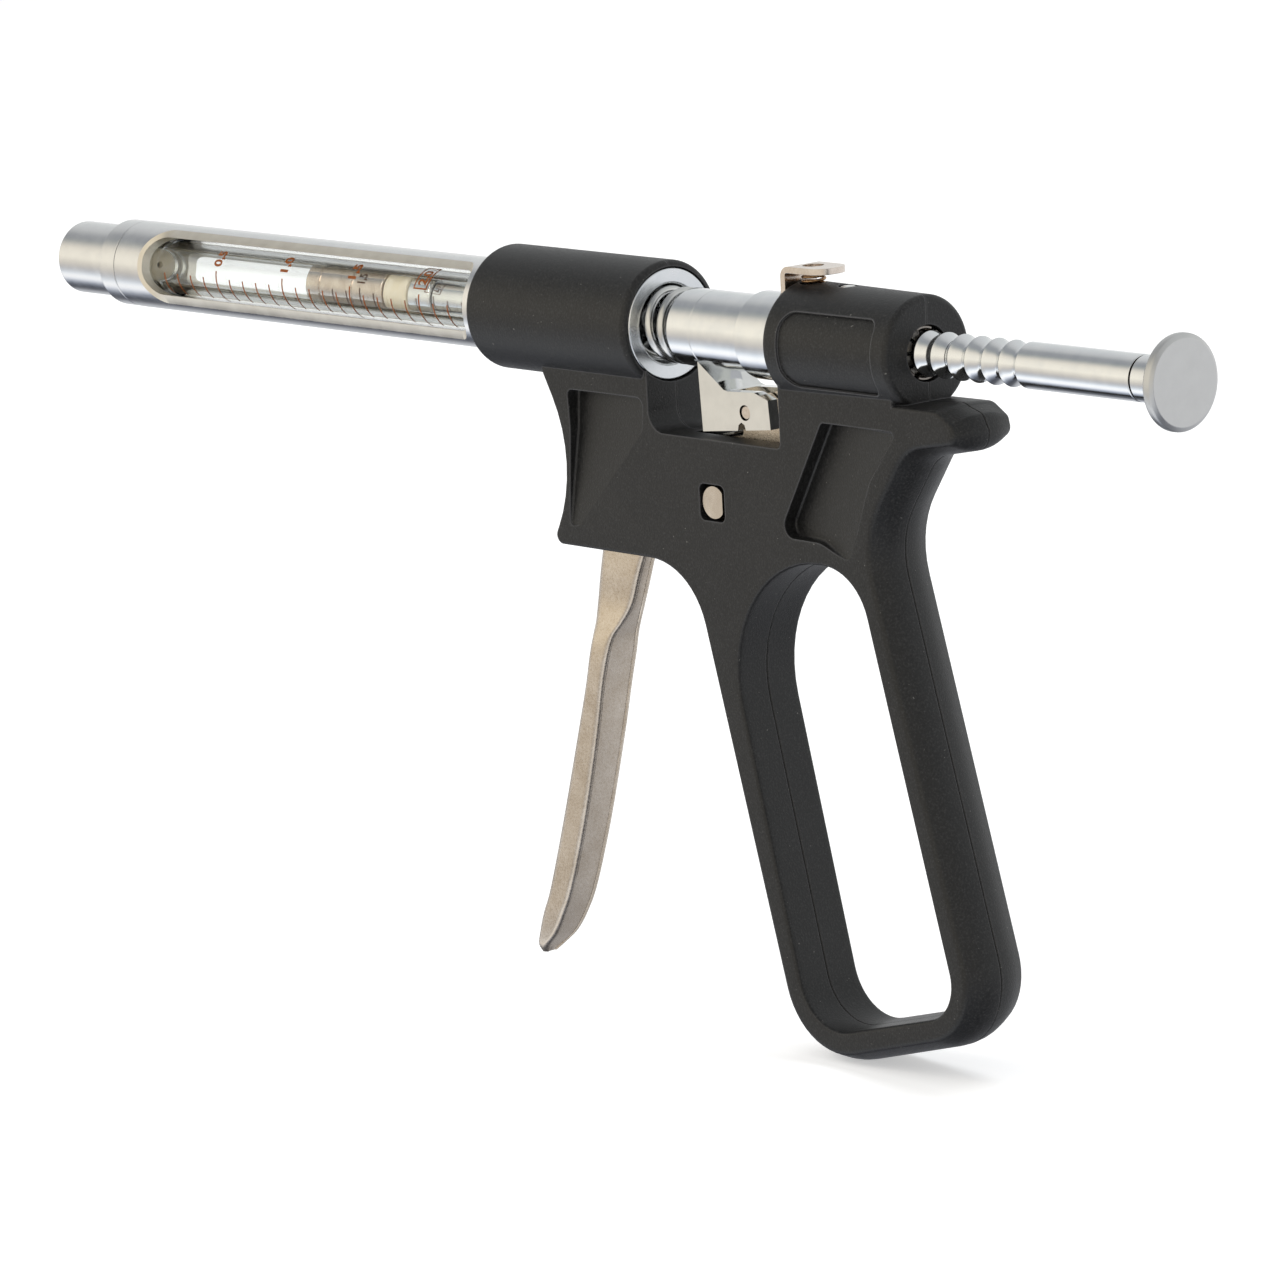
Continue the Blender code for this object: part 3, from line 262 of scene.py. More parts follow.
def object_of(mesh, name):
    """Object in the scene that takes over a mesh."""
    data = bpy.data.meshes.new(name)
    mesh.to_mesh(data)
    mesh.free()
    obj = bpy.data.objects.new(name, data)
    scene.collection.objects.link(obj)
    return obj


sheet_mesh = bmesh.new()
corners = [(-TABLE_HALF, -TABLE_HALF), (TABLE_HALF, -TABLE_HALF), (TABLE_HALF, TABLE_HALF),
           (-TABLE_HALF, TABLE_HALF)]
sheet_mesh.faces.new([sheet_mesh.verts.new((x, y, cad_bounds[0][2])) for x, y in corners])
table = object_of(sheet_mesh, "pale_table")
paper, tree, shader = new_finish("matt_white_paper")
tree.nodes.remove(shader)
seen, mirrored = ray_kinds(tree)
grain = add(tree, "TexNoise", {"Scale": PAPER_GRAIN}).outputs["Fac"]
tone = tint(tree, grain, [(0.3, "#e9e9e8"), (0.7, "#ececeb")])
matt = add(tree, "BsdfDiffuse", {"Color": tone}).outputs[0]
glow = add(tree, "Emission", {"Color": WHITE, "Strength": TABLE_GLOW}).outputs[0]
lit = add(tree, "AddShader", {0: matt, 1: glow}).outputs[0]
open_way = add(tree, "BsdfTransparent").outputs[0]
surface = mix_shader(tree, mirrored, mix_shader(tree, seen, matt, lit), open_way)
feed(tree, tree.nodes["Material Output"], {"Surface": surface})
table.data.materials.append(paper)
print("table", TABLE_HALF * 2, "m wide")

# %% [markdown]
# Two wide lamps shape the matt plastic: a key from the front left and above, and a strip behind and above
# that draws the pale line along upper edges. Neither shows in the metal, whose bands the room already gives.

# %% Hang the lamps
LAMPS = {
    "front_key": ((-0.55, -1.25, 1.15), 1.1, 0.9, 9.0, "#fffaf2"),
    "top_strip": ((0.10, 0.55, 1.35), 1.4, 0.5, 6.0, "#f4f8ff"),
}
for name, (place, width, height, power, colour) in LAMPS.items():
    light = bpy.data.lights.new(name, "AREA")
    light.shape = "RECTANGLE"
    light.size = width
    light.size_y = height
    light.energy = power
    light.color = linear(colour)[:3]
    lamp = bpy.data.objects.new(name, light)
    lamp.location = place
    lamp.rotation_euler = (Vector((0.0, 0.0, AXIS_Z)) - Vector(place)).to_track_quat("-Z", "Y").to_euler()
    lamp.visible_glossy = False
    scene.collection.objects.link(lamp)
print("lamps", list(LAMPS))

# %% [markdown]
# ## Finishes
#
# Every pattern is worked out from a size in millimetres. The pieces stand at the origin with their place
# in their mesh, so object coordinates are metres of the frame, and a grain of g mm is a scale of 1000 / g.
# Turned parts carry marks that run round the axis, so they need the distance from it as well.

# %% Pattern helpers
def spots(tree, size, detail=2.0, roughness=0.5, place=None):
    """Even noise whose spots have a size in millimetres."""
    if place is None:
        place = add(tree, "TexCoord").outputs["Object"]
    return add(tree, "TexNoise", {"Vector": place, "Scale": 1000.0 / size, "Detail": detail,
                                  "Roughness": roughness}).outputs["Fac"]


def turned_marks(tree, pitch):
    """Fine rings left by a cutting tool that moved along or across the barrel's axis."""
    place = add(tree, "TexCoord").outputs["Object"]
    moved = add(tree, "VectorMath", {0: place, 1: (0.0, 0.0, AXIS_Z)}, operation="SUBTRACT")
    parts = add(tree, "SeparateXYZ", {"Vector": moved.outputs[0]}).outputs
    squash = add(tree, "CombineXYZ", {"Y": parts["Y"], "Z": parts["Z"]})
    radius = add(tree, "VectorMath", {0: squash.outputs[0]}, operation="LENGTH")
    along = add(tree, "CombineXYZ", {"X": parts["X"], "Y": radius.outputs["Value"]})
    return spots(tree, pitch, 3.0, 0.6, along.outputs[0])


def relief(tree, shader, height, depth, strength=1.0, edge=None):
    """Bump of a depth in millimetres, over edges softened by a radius in millimetres."""
    inputs = {"Height": height, "Distance": depth * MM, "Strength": strength}
    if edge:
        inputs["Normal"] = add(tree, "Bevel", {"Radius": edge * MM}, samples=6).outputs["Normal"]
    feed(tree, shader, {"Normal": add(tree, "Bump", inputs).outputs["Normal"]})


print("a 0.2 mm grain has scale", 1000.0 / 0.2)

# %% [markdown]
# ### Black moulded polyamide
#
# The grip is injection moulded nylon with glass fibre, from a spark-eroded mould. To the eye that is a
# charcoal skin with a fine even grain, a soft sheen and a few specks of dust, and its edges carry a painted
# highlight.
# The real grain is near 0.1 mm, and it is drawn at 0.34 mm so that it shows at this picture's size.

# %% Moulded polyamide
def painted_edge_highlight_mask(tree, radius):
    """Mask of convex and concave edges for a painted highlight, from the bend that a bevel of this radius in
    mm would give.
    """
    eased = add(tree, "Bevel", {"Radius": radius * MM}, samples=6)
    flat = add(tree, "NewGeometry")
    normals = {0: eased.outputs["Normal"], 1: flat.outputs["Normal"]}
    meet = add(tree, "VectorMath", normals, operation="DOT_PRODUCT")
    return between(tree, meet.outputs["Value"], 1.0, 0.0, 0.80, 0.999)


polyamide, tree, shader = new_finish("moulded_black_polyamide")
fine = spots(tree, 0.34, 3.0, 0.6)
broad = spots(tree, 9.0, 2.0)
dust = spots(tree, 0.55, 1.0)
skin = tint(tree, fine, [(0.28, "#0b0b0c"), (0.5, "#191919"), (0.74, "#3c3b3b")])
patch = tint(tree, broad, [(0.3, "#181818"), (0.7, "#232323")])
# Edges are lightened towards #5e5e60: a painted highlight along every bend, not wear.
painted_edge_highlight = calc(tree, "MULTIPLY", painted_edge_highlight_mask(tree, 0.5), 0.8)
skin_with_painted_highlight = blend(tree, painted_edge_highlight, blend(tree, 0.3, skin, patch), linear("#5e5e60"))
dusty = blend(tree, between(tree, dust, 0.0, 0.5, 0.77, 0.81), skin_with_painted_highlight, linear("#8d8b86"))
feed(tree, shader, {"Base Color": dusty, "Roughness": between(tree, fine, 0.36, 0.5), "IOR": 1.53,
                    "Specular IOR Level": 0.4})
relief(tree, shader, fine, 0.06, 1.0, 0.25)
print("moulded skin has", len(tree.nodes), "nodes")

# %% [markdown]
# ### Turned steel, bright zinc and polished steel
#
# The tube, the nose and the ring are turned bars. Stainless steel keeps a soft satin with hair-fine
# rings. Zinc plate is smoother and a touch bluer, and shows the room's bands more sharply.
# The end face of the plated ring is faced on the lathe, so its light fans out in spokes: that is
# anisotropy, which stretches a highlight across the grooves.

# %% Turned and plated steels
def bright_metal(name, dark, light, rough, ring_pitch, ring_depth, anisotropy=0.0, axis="X"):
    """Turned or plated metal with faint rings and a clouded tone."""
    material, tree, shader = new_finish(name)
    rings = turned_marks(tree, ring_pitch)
    haze = spots(tree, 3.0, 3.0)
    feed(tree, shader, {"Base Color": tint(tree, haze, [(0.3, dark), (0.7, light)]),
                        "Roughness": between(tree, haze, *rough), "Metallic": 1.0})
    if anisotropy:
        around = add(tree, "Tangent", direction_type="RADIAL", axis=axis)
        feed(tree, shader, {"Anisotropic": anisotropy, "Anisotropic Rotation": 0.25,
                            "Tangent": around.outputs["Tangent"]})
    relief(tree, shader, rings, ring_depth, 0.5)
    return material


satin_steel = bright_metal("turned_stainless_steel", "#e6e6e6", "#efefee", (0.17, 0.24), 0.16, 0.004)
zinc_plate = bright_metal("bright_zinc_plate", "#e8eaec", "#f2f3f3", (0.10, 0.17), 0.22, 0.003)
polished_steel = bright_metal("polished_steel", "#e9e9e6", "#f3f3f0", (0.06, 0.12), 0.3, 0.002)
# The piston's steel is tinted warm and dark: painted brown reflection and shade.
painted_dark_piston_steel = bright_metal("piston_steel_painted_reflection_and_shade", "#c9bbae", "#e0d5ca", (0.12, 0.20), 0.3, 0.004)
# The window's milled rim is rougher than the tube, and its lighter cream tone is a painted highlight.
rim_steel_painted_highlight = bright_metal("milled_rim_with_painted_highlight", "#e9e1d2", "#f6f0e3", (0.42, 0.52), 0.3, 0.004)
spring_steel = bright_metal("drawn_spring_steel", "#d2d2d0", "#e0e0de", (0.14, 0.22), 0.2, 0.003)
faced_zinc = bright_metal("faced_zinc_ring", "#dfe3e6", "#eceef0", (0.20, 0.28), 0.12, 0.004, 0.8)
# The guide bush is plated like the rod and rougher, and its dark grey tone is painted shade.
zinc_bush_painted_shade = bright_metal("rough_zinc_bush_with_painted_shade", "#8d8781", "#a8a29b", (0.28, 0.40), 0.2, 0.004)
faced_nickel = bright_metal("faced_nickel_pin", "#cfc4b6", "#e0d6ca", (0.20, 0.30), 0.12, 0.004, 0.75, "Y")
browned = bright_metal("browned_steel_thread", "#3a2c20", "#5a4632", (0.45, 0.6), 0.2, 0.006)
satin_knob = bright_metal("satin_aluminium", "#cfcfce", "#d8d8d7", (0.34, 0.42), 0.18, 0.003)
print("satin steel has", len(satin_steel.node_tree.nodes), "nodes")

# %% [markdown]
# ### Nickel-plated castings and sheet
#
# The trigger is an investment casting that was tumbled and nickel plated. It stays grainy and a little
# warm, with clouds of brown. The lock plate is bent sheet with the same plate, smoother.

# %% Nickel on cast and sheet metal
def nickel(name, dark, middle, light, rough, grain, depth, edge):
    """Warm plated metal with a tumbled grain."""
    material, tree, shader = new_finish(name)
    grit = spots(tree, grain, 4.0, 0.65)
    colour = tint(tree, grit, [(0.28, dark), (0.5, middle), (0.72, light)])
    brown = tint(tree, spots(tree, 4.5, 3.0), [(0.3, dark), (0.75, light)])
    feed(tree, shader, {"Base Color": blend(tree, 0.35, colour, brown),
                        "Roughness": between(tree, grit, *rough), "Metallic": 1.0})
    relief(tree, shader, grit, depth, 0.6, edge)
    return material


cast_nickel = nickel("tumbled_cast_nickel", "#b9a994", "#d9cbba", "#eee4d7", (0.22, 0.36), 0.35, 0.04, 0.1)
sheet_nickel = nickel("nickel_plated_sheet", "#d3c5b9", "#e2d6ca", "#eee4da", (0.18, 0.26), 0.6, 0.006, 0.12)
bronze_wire = nickel("phosphor_bronze_wire", "#8f6f50", "#b08d68", "#caa985", (0.22, 0.32), 0.4, 0.006, None)
print("cast nickel has", len(cast_nickel.node_tree.nodes), "nodes")

# %% [markdown]
# ### Glass, seals and scale ink
#
# The barrel is borosilicate glass, index 1.47, with a drawn and polished skin. The scale is amber ceramic
# ink, fired on, so it is matt and slightly uneven. The piston ring and the front seal are cream PTFE, and
# the rear seal is rubber.

# %% Glass, seals and ink
glass, tree, shader = new_finish("borosilicate_glass")
ripple = spots(tree, 7.0, 1.0)
feed(tree, shader, {"Base Color": linear("#fbfdfc"), "Transmission Weight": 1.0, "IOR": 1.47,
                    "Roughness": between(tree, ripple, 0.0, 0.015)})
relief(tree, shader, ripple, 0.01, 0.15)

ink, tree, shader = new_finish("amber_ceramic_ink")
patchy = spots(tree, 0.25, 2.0)
feed(tree, shader, {"Base Color": tint(tree, patchy, [(0.3, "#7d4212"), (0.7, "#a85a1a")]),
                    "Roughness": 0.55, "IOR": 1.5})
relief(tree, shader, patchy, 0.01, 0.4)


def soft_finish(name, size, dark, light, rough, index, depth, strength):
    """Matt moulded material with a clouded tone."""
    material, tree, shader = new_finish(name)
    cloud = spots(tree, size, 2.0)
    feed(tree, shader, {"Base Color": tint(tree, cloud, [(0.3, dark), (0.7, light)]),
                        "Roughness": between(tree, cloud, *rough), "IOR": index})
    relief(tree, shader, cloud, depth, strength)
    return material


ptfe = soft_finish("cream_ptfe", 1.5, "#f8e8c6", "#fff2d8", (0.38, 0.5), 1.35, 0.01, 0.4)
rubber = soft_finish("moulded_nitrile_rubber", 0.4, "#1b1b1b", "#2b2b2a", (0.6, 0.78), 1.52, 0.02, 0.5)
print("materials", len(bpy.data.materials))

# %% [markdown]
# ## Shapes from outlines
#
# Almost every part here is turned or cut from an outline whose corners are rounded. One helper rounds the
# corners, one turns an outline about the axis and one gives an outline its thickness. Arcs take a point
# every few degrees, because these meshes are for looking at and not for a solver.

# %% Outline helpers
ARC_STEP = 7.0
AROUND = 96


def rounded(knots, step=ARC_STEP):
    """Closed outline through (a, b, radius) knots, with an arc at each corner."""
    points = []
    for index, (a, b, radius) in enumerate(knots):
        here = Vector((a, b))
        if radius == 0:
            points.append((a, b))
            continue
        back_way = (Vector(knots[index - 1][:2]) - here).normalized()
        ahead = (Vector(knots[(index + 1) % len(knots)][:2]) - here).normalized()
        half = back_way.angle(ahead) / 2
        centre = here + (back_way + ahead).normalized() * (radius / math.sin(half))
        start = here + back_way * (radius / math.tan(half)) - centre
        swing = math.pi - 2 * half
        side = 1 if back_way.x * ahead.y - back_way.y * ahead.x < 0 else -1
        steps = max(2, round(math.degrees(swing) / step))
        for k in range(steps + 1):
            turned_by = side * swing * k / steps
            cosine, sine = math.cos(turned_by), math.sin(turned_by)
            points.append((centre.x + start.x * cosine - start.y * sine,
                           centre.y + start.x * sine + start.y * cosine))
    return points


def circle(a, b, radius, count=48):
    """Points round a circle, none of them on the middle plane."""
    angles = [2 * math.pi * (k + 0.5) / count for k in range(count)]
    return [(a + radius * math.cos(t), b + radius * math.sin(t)) for t in angles]


def bridge(mesh, first, second):
    """Faces between two rings, either of which may be a single point."""
    for k in range(max(len(first), len(second))):
        n = (k + 1) % max(len(first), len(second))
        corners = (first[k % len(first)], first[n % len(first)],
                   second[n % len(second)], second[k % len(second)])
        distinct = list(dict.fromkeys(corners))
        if len(distinct) > 2:
            mesh.faces.new(distinct)


def loft(mesh, rings):
    """Faces between each ring and the next."""
    for first, second in zip(rings, rings[1:]):
        bridge(mesh, first, second)


def fill(mesh, *rings):
    """Flat end inside a ring, with the other rings as its holes."""
    edges = [mesh.edges.get((vert, ring[(k + 1) % len(ring)]))
             for ring in rings for k, vert in enumerate(ring)]
    bmesh.ops.triangle_fill(mesh, use_beauty=True, edges=edges)


def outwards(mesh):
    """Turn every face of a closed mesh outwards."""
    bmesh.ops.recalc_face_normals(mesh, faces=mesh.faces)
    return mesh


def closed_loft(mesh, rings):
    """Solid through rings, with a single face at each end."""
    loft(mesh, rings)
    mesh.faces.new(rings[0])
    mesh.faces.new(rings[-1])
    return outwards(mesh)


def turned(outline, count=AROUND):
    """Solid turned about the barrel's axis from a closed (x, radius) outline."""
    mesh = bmesh.new()
    rings = []
    for x, radius in outline:
        places = [(0.0, 0.0)] if radius < 1e-6 else circle(0.0, 0.0, radius, count)
        rings.append([mesh.verts.new((x, y, z)) for y, z in places])
    loft(mesh, rings + rings[:1])
    return outwards(mesh)


def core(x0, x1, r0, r1=None):
    """Plain round solid between two places along the axis."""
    return turned([(x0, 0.0), (x0, r0), (x1, r0 if r1 is None else r1), (x1, 0.0)])


def side_view(x, z, depth):
    """Place of an outline that is seen from the side."""
    return (x, depth, z)


def end_view(y, z, depth):
    """Place of an outline that is seen along the barrel."""
    return (depth, y, z)


def top_view(x, y, depth):
    """Place of an outline that is seen from above."""
    return (x, y, depth)


def plate(outlines, low, high, place):
    """Flat piece with holes: outlines[0] is its edge, and the rest are its holes."""
    mesh = bmesh.new()
    edges = []
    for outline in outlines:
        verts = [mesh.verts.new(place(a, b, low)) for a, b in outline]
        edges += [mesh.edges.new((vert, verts[(k + 1) % len(verts)])) for k, vert in enumerate(verts)]
    bmesh.ops.triangle_fill(mesh, use_beauty=True, edges=edges)
    grown = bmesh.ops.extrude_face_region(mesh, geom=mesh.faces[:])["geom"]
    shift = Vector(place(0, 0, high)) - Vector(place(0, 0, low))
    far_side = [item for item in grown if isinstance(item, bmesh.types.BMVert)]
    bmesh.ops.translate(mesh, vec=shift, verts=far_side)
    return outwards(mesh)


def block(low, high):
    """Box between two corners, used only to cut."""
    outline = [(low[0], low[2]), (high[0], low[2]), (high[0], high[2]), (low[0], high[2])]
    return plate([outline], low[1], high[1], side_view)


print("outline helpers ready")

# %% [markdown]
# Parts with pockets and slots are cut with Blender's exact boolean. The cutting happens in millimetres,
# on objects that are thrown away at once, so the piece that is kept holds only its finished mesh.
# Then a piece goes to its place in the frame, its hard edges are marked, its normals are weighted by area
# so that flat faces stay flat, and it rides on its CAD body in the place of its CAD node.

# %% Cutting and placing
def carve(mesh, steps):
    """Mesh after (operation, other mesh) steps, each an exact boolean."""
    base = object_of(mesh, "blank")
    tools = []
    for index, (operation, other) in enumerate(steps):
        tool = object_of(other, f"tool_{index}")
        tools.append(tool)
        modifier = base.modifiers.new(tool.name, "BOOLEAN")
        modifier.operation = operation
        modifier.solver = "EXACT"
        modifier.object = tool
    made = bpy.data.meshes.new_from_object(base.evaluated_get(bpy.context.evaluated_depsgraph_get()))
    result = bmesh.new()
    result.from_mesh(made)
    bpy.data.meshes.remove(made)
    for obj in [base, *tools]:
        data = obj.data
        bpy.data.objects.remove(obj)
        bpy.data.meshes.remove(data)
    return result


BROAD_WIDTH = 1.2
BROAD_AREA = 3.0
JOIN_ANGLE = math.radians(5)


def is_broad(face):
    """Whether a face is a flat of its own, and not one strip of a curve."""
    longest = max(edge.calc_length() for edge in face.edges)
    return face.calc_area() > max(BROAD_AREA, BROAD_WIDTH * longest)


def flat_joins(mesh):
    """Edges where two broad flats meet at an angle."""
    mesh.edges.index_update()
    broad = {face for face in mesh.faces if is_broad(face)}
    inner = [edge for edge in mesh.edges if len(edge.link_faces) == 2 and broad.issuperset(edge.link_faces)]
    return [edge.index for edge in inner if edge.calc_face_angle() > JOIN_ANGLE]


def dress(name, mesh, material, body, nodes, hard=30.0):
    """Finished piece at its place in the frame, standing for its CAD nodes."""
    joins = flat_joins(mesh)
    bmesh.ops.scale(mesh, vec=(MM, MM, MM), verts=mesh.verts)
    bmesh.ops.translate(mesh, vec=(RING_FACE, 0.0, AXIS_Z), verts=mesh.verts)
    piece = object_of(mesh, name)
    data = piece.data
    data.shade_smooth()
    data.materials.append(material)
    data.set_sharp_from_angle(angle=math.radians(hard))
    for index in joins:
        data.edges[index].use_edge_sharp = True
    even = piece.modifiers.new("area_normals", "WEIGHTED_NORMAL")
    even.keep_sharp = True
    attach(piece, body)
    if nodes:
        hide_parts(*nodes)
    print(name, len(data.polygons), "faces on", body)
    return piece


def turned_piece(name, knots, material, body, nodes, count=AROUND, hard=30.0):
    """Finished piece that is turned from (x, radius, corner radius) knots."""
    return dress(name, turned(rounded(knots), count), material, body, nodes, hard)


def hollow(x0, x1, inner, outer, outer_round, inner_round=0.0):
    """Knots of a plain tube between two places along the axis."""
    return [(x0, inner, inner_round), (x0, outer, outer_round),
            (x1, outer, outer_round), (x1, inner, inner_round)]


# %% [markdown]
# ## The grip and body
#
# The body is moulded in two halves that meet on the middle plane. Seen from the side it is a closed
# outline with one long opening. Its side faces are flat, and its outer wall swells to a low crest
# towards the parting line. So each half is a loft: the same outline at several depths, pushed outwards
# by the crest's height at that depth. The crest fades out along the outline where the real one does.

# %% Outlines of the grip
HALF_WIDTH = 6.2
SPLIT_GAP = 0.05
CREST = 1.9
EDGE_ROUND = 0.55
BODY_BOTTOM_Z = -37.1
GRIP_LOW_Z = -115.0
GRIP_REACH = 0.276 * (BODY_BOTTOM_Z - GRIP_LOW_Z)

# Corner x, corner z, corner radius and share of the crest
GRIP_KNOTS = [
    (-25.6, -4.0, 0.0, 0.0),
    (-25.6, -8.9, 3.0, 0.0),
    (-17.6, -23.5, 22.0, 0.0),
    (-25.0, BODY_BOTTOM_Z, 1.5, 0.0),
    (9.0, BODY_BOTTOM_Z, 13.0, 0.0),
    (9.0 + GRIP_REACH, GRIP_LOW_Z, 12.0, 1.0),
    (49.2 + GRIP_REACH, GRIP_LOW_Z + 11.0, 10.2, 1.0),
    (49.3, -29.0, 15.0, 1.0),
    (59.6, -14.0, 8.0, 1.0),
    (70.8, -12.2, 1.3, 0.9),
    (70.3, -9.6, 1.2, 0.7),
    (67.2, -7.5, 2.5, 0.3),
    (57.4, -7.5, 0.0, 0.0),
    (57.4, -4.0, 0.0, 0.0),
]
OPENING_KNOTS = [
    (13.7, -34.1, 20.0),
    (47.5, -34.1, 10.0),
    (45.0 + GRIP_REACH, GRIP_LOW_Z + 13.2, 6.5),
    (11.0 + GRIP_REACH, GRIP_LOW_Z + 4.2, 9.0),
]


def knot_shares(knots):
    """Share of the crest at each point that rounded() makes."""
    shares = []
    for index, knot in enumerate(knots):
        trio = [knots[index - 1], knot, knots[(index + 1) % len(knots)]]
        alone = [(*trio[0][:2], 0.0), knot[:3], (*trio[2][:2], 0.0)]
        shares += [knot[3]] * (len(rounded(alone)) - 2)
    return shares


def pushed(points, distances):
    """Closed outline moved outwards by its own distance at each point."""
    area = sum(a[0] * b[1] - b[0] * a[1] for a, b in zip(points, points[1:] + points[:1]))
    side = 1 if area > 0 else -1
    moved = []
    for k, (x, z) in enumerate(points):
        along = (Vector(points[(k + 1) % len(points)]) - Vector(points[k - 1])).normalized()
        moved.append((x + side * along.y * distances[k], z - side * along.x * distances[k]))
    return moved


grip_outline = rounded([knot[:3] for knot in GRIP_KNOTS])
grip_shares = knot_shares(GRIP_KNOTS)
opening_outline = rounded(OPENING_KNOTS)
print("grip outline", len(grip_outline), "points, opening", len(opening_outline))

# %% [markdown]
# The crest is a shallow arch in section. The side edge is a quarter round of half a millimetre, as any
# moulded edge is, and at the parting line each half has a hair of a chamfer. That chamfer is what draws
# the dark line with a pale lip down the back of the grip.

# %% Loft one half of the grip
CREST_ARCH = [(0.0, 1.0), (0.14, 0.985), (0.28, 0.93), (0.42, 0.83), (0.55, 0.69), (0.67, 0.53), (0.78, 0.36)]
LIP = 0.16


def grip_levels():
    """(depth, crest share, inset) from the parting line to the side face."""
    levels = [(-0.4, 1.0, LIP), (SPLIT_GAP, 1.0, LIP), (SPLIT_GAP + LIP, 1.0, 0.0)]
    levels += [(HALF_WIDTH * depth, share, 0.0) for depth, share in CREST_ARCH[1:]]
    for k in range(4):
        swing = math.pi / 2 * k / 3
        depth = HALF_WIDTH - EDGE_ROUND * (1 - math.sin(swing))
        levels.append((depth, 0.16 * (1 - k / 3), EDGE_ROUND * (1 - math.cos(swing))))
    return levels


def grip_half(side):
    """Half of the grip as a closed loft that runs a little past the parting line."""
    mesh = bmesh.new()
    outer_rings = []
    opening_rings = []
    for depth, share, inset in grip_levels():
        outer = pushed(grip_outline, [CREST * own * share - inset for own in grip_shares])
        opening = pushed(opening_outline, [inset] * len(opening_outline))
        outer_rings.append([mesh.verts.new((x, side * depth, z)) for x, z in outer])
        opening_rings.append([mesh.verts.new((x, side * depth, z)) for x, z in opening])
    loft(mesh, outer_rings)
    loft(mesh, opening_rings)
    for end in (0, -1):
        fill(mesh, outer_rings[end], opening_rings[end])
    return outwards(mesh)


trial = grip_half(-1)
print("grip half", len(trial.faces), "faces")
trial.free()

# %% [markdown]
# The barrel collar at the front and the housing at the back are plain turned shapes with rounded ends.
# They are joined to the grip, and then the bores, the pocket of the pawl, the lever's slot, the pin's hole
# and the shallow recesses on the side faces are cut, in the order in which a mould's cores sit.

# %% Collar, housing and the cores that cut them
TUBE_R = 7.5
FIT = 0.2
BUSH_R = 8.94
BUSH_LENGTH = 36.0
COLLAR_LENGTH = 39.5
COLLAR_R = 10.2
HOUSING_X = 31.6
HOUSING_END = 59.4
HOUSING_FRONT_R = 9.36
HOUSING_REAR_R = 9.0
ROD_R = 3.6
GUIDE_R = 6.0
GUIDE_X = 39.4
PIVOT_X = 14.9
PIVOT_Z = -26.6
TAB_HOLE_X = HOUSING_X + 2.7
SCREW_X = HOUSING_X + 10.5
SPRING_SEAT_Z = HOUSING_FRONT_R - 2.6
SPRING_SEAT_R = 2.32
HOLE_HALF = 2.95
THROUGH = 12.0


def barrel(x0, r0, x1, r1, edge):
    """Round housing with both ends rounded over."""
    return turned(rounded([(x0, 0.0, 0.0), (x0, r0, edge), (x1, r1, edge), (x1, 0.0, 0.0)]))


# Where the deep wall of each recess starts, which way and over what length its floor climbs, its outline
REAR_RECESS = ((41.2, -11.5), (0.866, -0.500), 15.2, [
    (41.2, -11.5, 1.0), (30.3, -30.4, 2.0), (39.8, -30.5, 6.0), (46.9, -33.2, 1.6), (48.7, -28.0, 6.0),
    (51.5, -20.0, 12.0), (58.6, -11.5, 0.8),
])
FRONT_RECESS = ((-19.3, -11.3), (0.713, -0.701), 17.1, [
    (-19.3, -11.3, 1.0), (-18.9, -17.5, 10.0), (-20.2, -33.9, 0.8), (-17.2, -33.6, 1.2), (-0.9, -17.0, 3.0),
    (-0.7, -11.2, 1.6),
])
RECESS_DEPTH = 2.6
FOOT_ROUND = 0.45


def recess(plan, side):
    """Core for a recess whose flat floor climbs to the side face, with a small round at its foot."""
    start, climb, reach, knots = plan
    outline = rounded(knots)
    mesh = bmesh.new()

    def floor(x, z):
        run = (x - start[0]) * climb[0] + (z - start[1]) * climb[1]
        return HALF_WIDTH - RECESS_DEPTH * (1 - run / reach)

    rings = [[mesh.verts.new((x, side * (HALF_WIDTH + 3.0), z)) for x, z in outline]]
    for k in range(4):
        swing = math.pi / 2 * k / 3
        inset = pushed(outline, [-FOOT_ROUND * (1 - math.cos(swing))] * len(outline))
        rise = FOOT_ROUND * (1 - math.sin(swing))
        rings.append([mesh.verts.new((x, side * (floor(x, z) + rise), z)) for x, z in inset])
    loft(mesh, rings)
    fill(mesh, rings[0])
    fill(mesh, rings[-1])
    return outwards(mesh)


LEVER_SLOT = [
    (-19.6, -39.5), (-18.3, -32.7), (-7.7, -26.1), (4.8, -20.3), (7.8, -14.5), (30.9, -14.5),
    (30.9, -18.0), (24.2, -28.0), (20.8, -33.2), (8.0, -34.2), (3.2, -37.0), (3.2, -39.5),
]


def cores():
    """The cores that both halves share."""
    pocket = rounded([(0.5, 14.0, 0.0), (0.5, -16.5, 3.4), (HOUSING_X, -16.5, 0.9), (HOUSING_X, 14.0, 0.0)])
    hole = rounded([(PIVOT_X + a * HOLE_HALF, PIVOT_Z + b * HOLE_HALF, 1.1)
                    for a, b in ((-1, -1), (1, -1), (1, 1), (-1, 1))])
    return [
        core(-BUSH_LENGTH - 0.3, 1.0, BUSH_R + FIT),
        core(-COLLAR_LENGTH - 1, -BUSH_LENGTH, TUBE_R + FIT),
        plate([circle(TAB_HOLE_X, 0.0, SPRING_SEAT_R)], SPRING_SEAT_Z, 14.0, top_view),
        plate([circle(SCREW_X, 0.0, 1.6)], GUIDE_R - 2.0, 12.0, top_view),
        plate([pocket], -THROUGH, THROUGH, side_view),
        core(HOUSING_X - 1, HOUSING_END + 1, ROD_R + 0.8),
        core(GUIDE_X - 3.3, GUIDE_X + 16.9, GUIDE_R + FIT),
        plate([hole], -THROUGH, THROUGH, side_view),
        plate([LEVER_SLOT], -2.0, 2.0, side_view),
    ]


print("cores for each half", len(cores()))

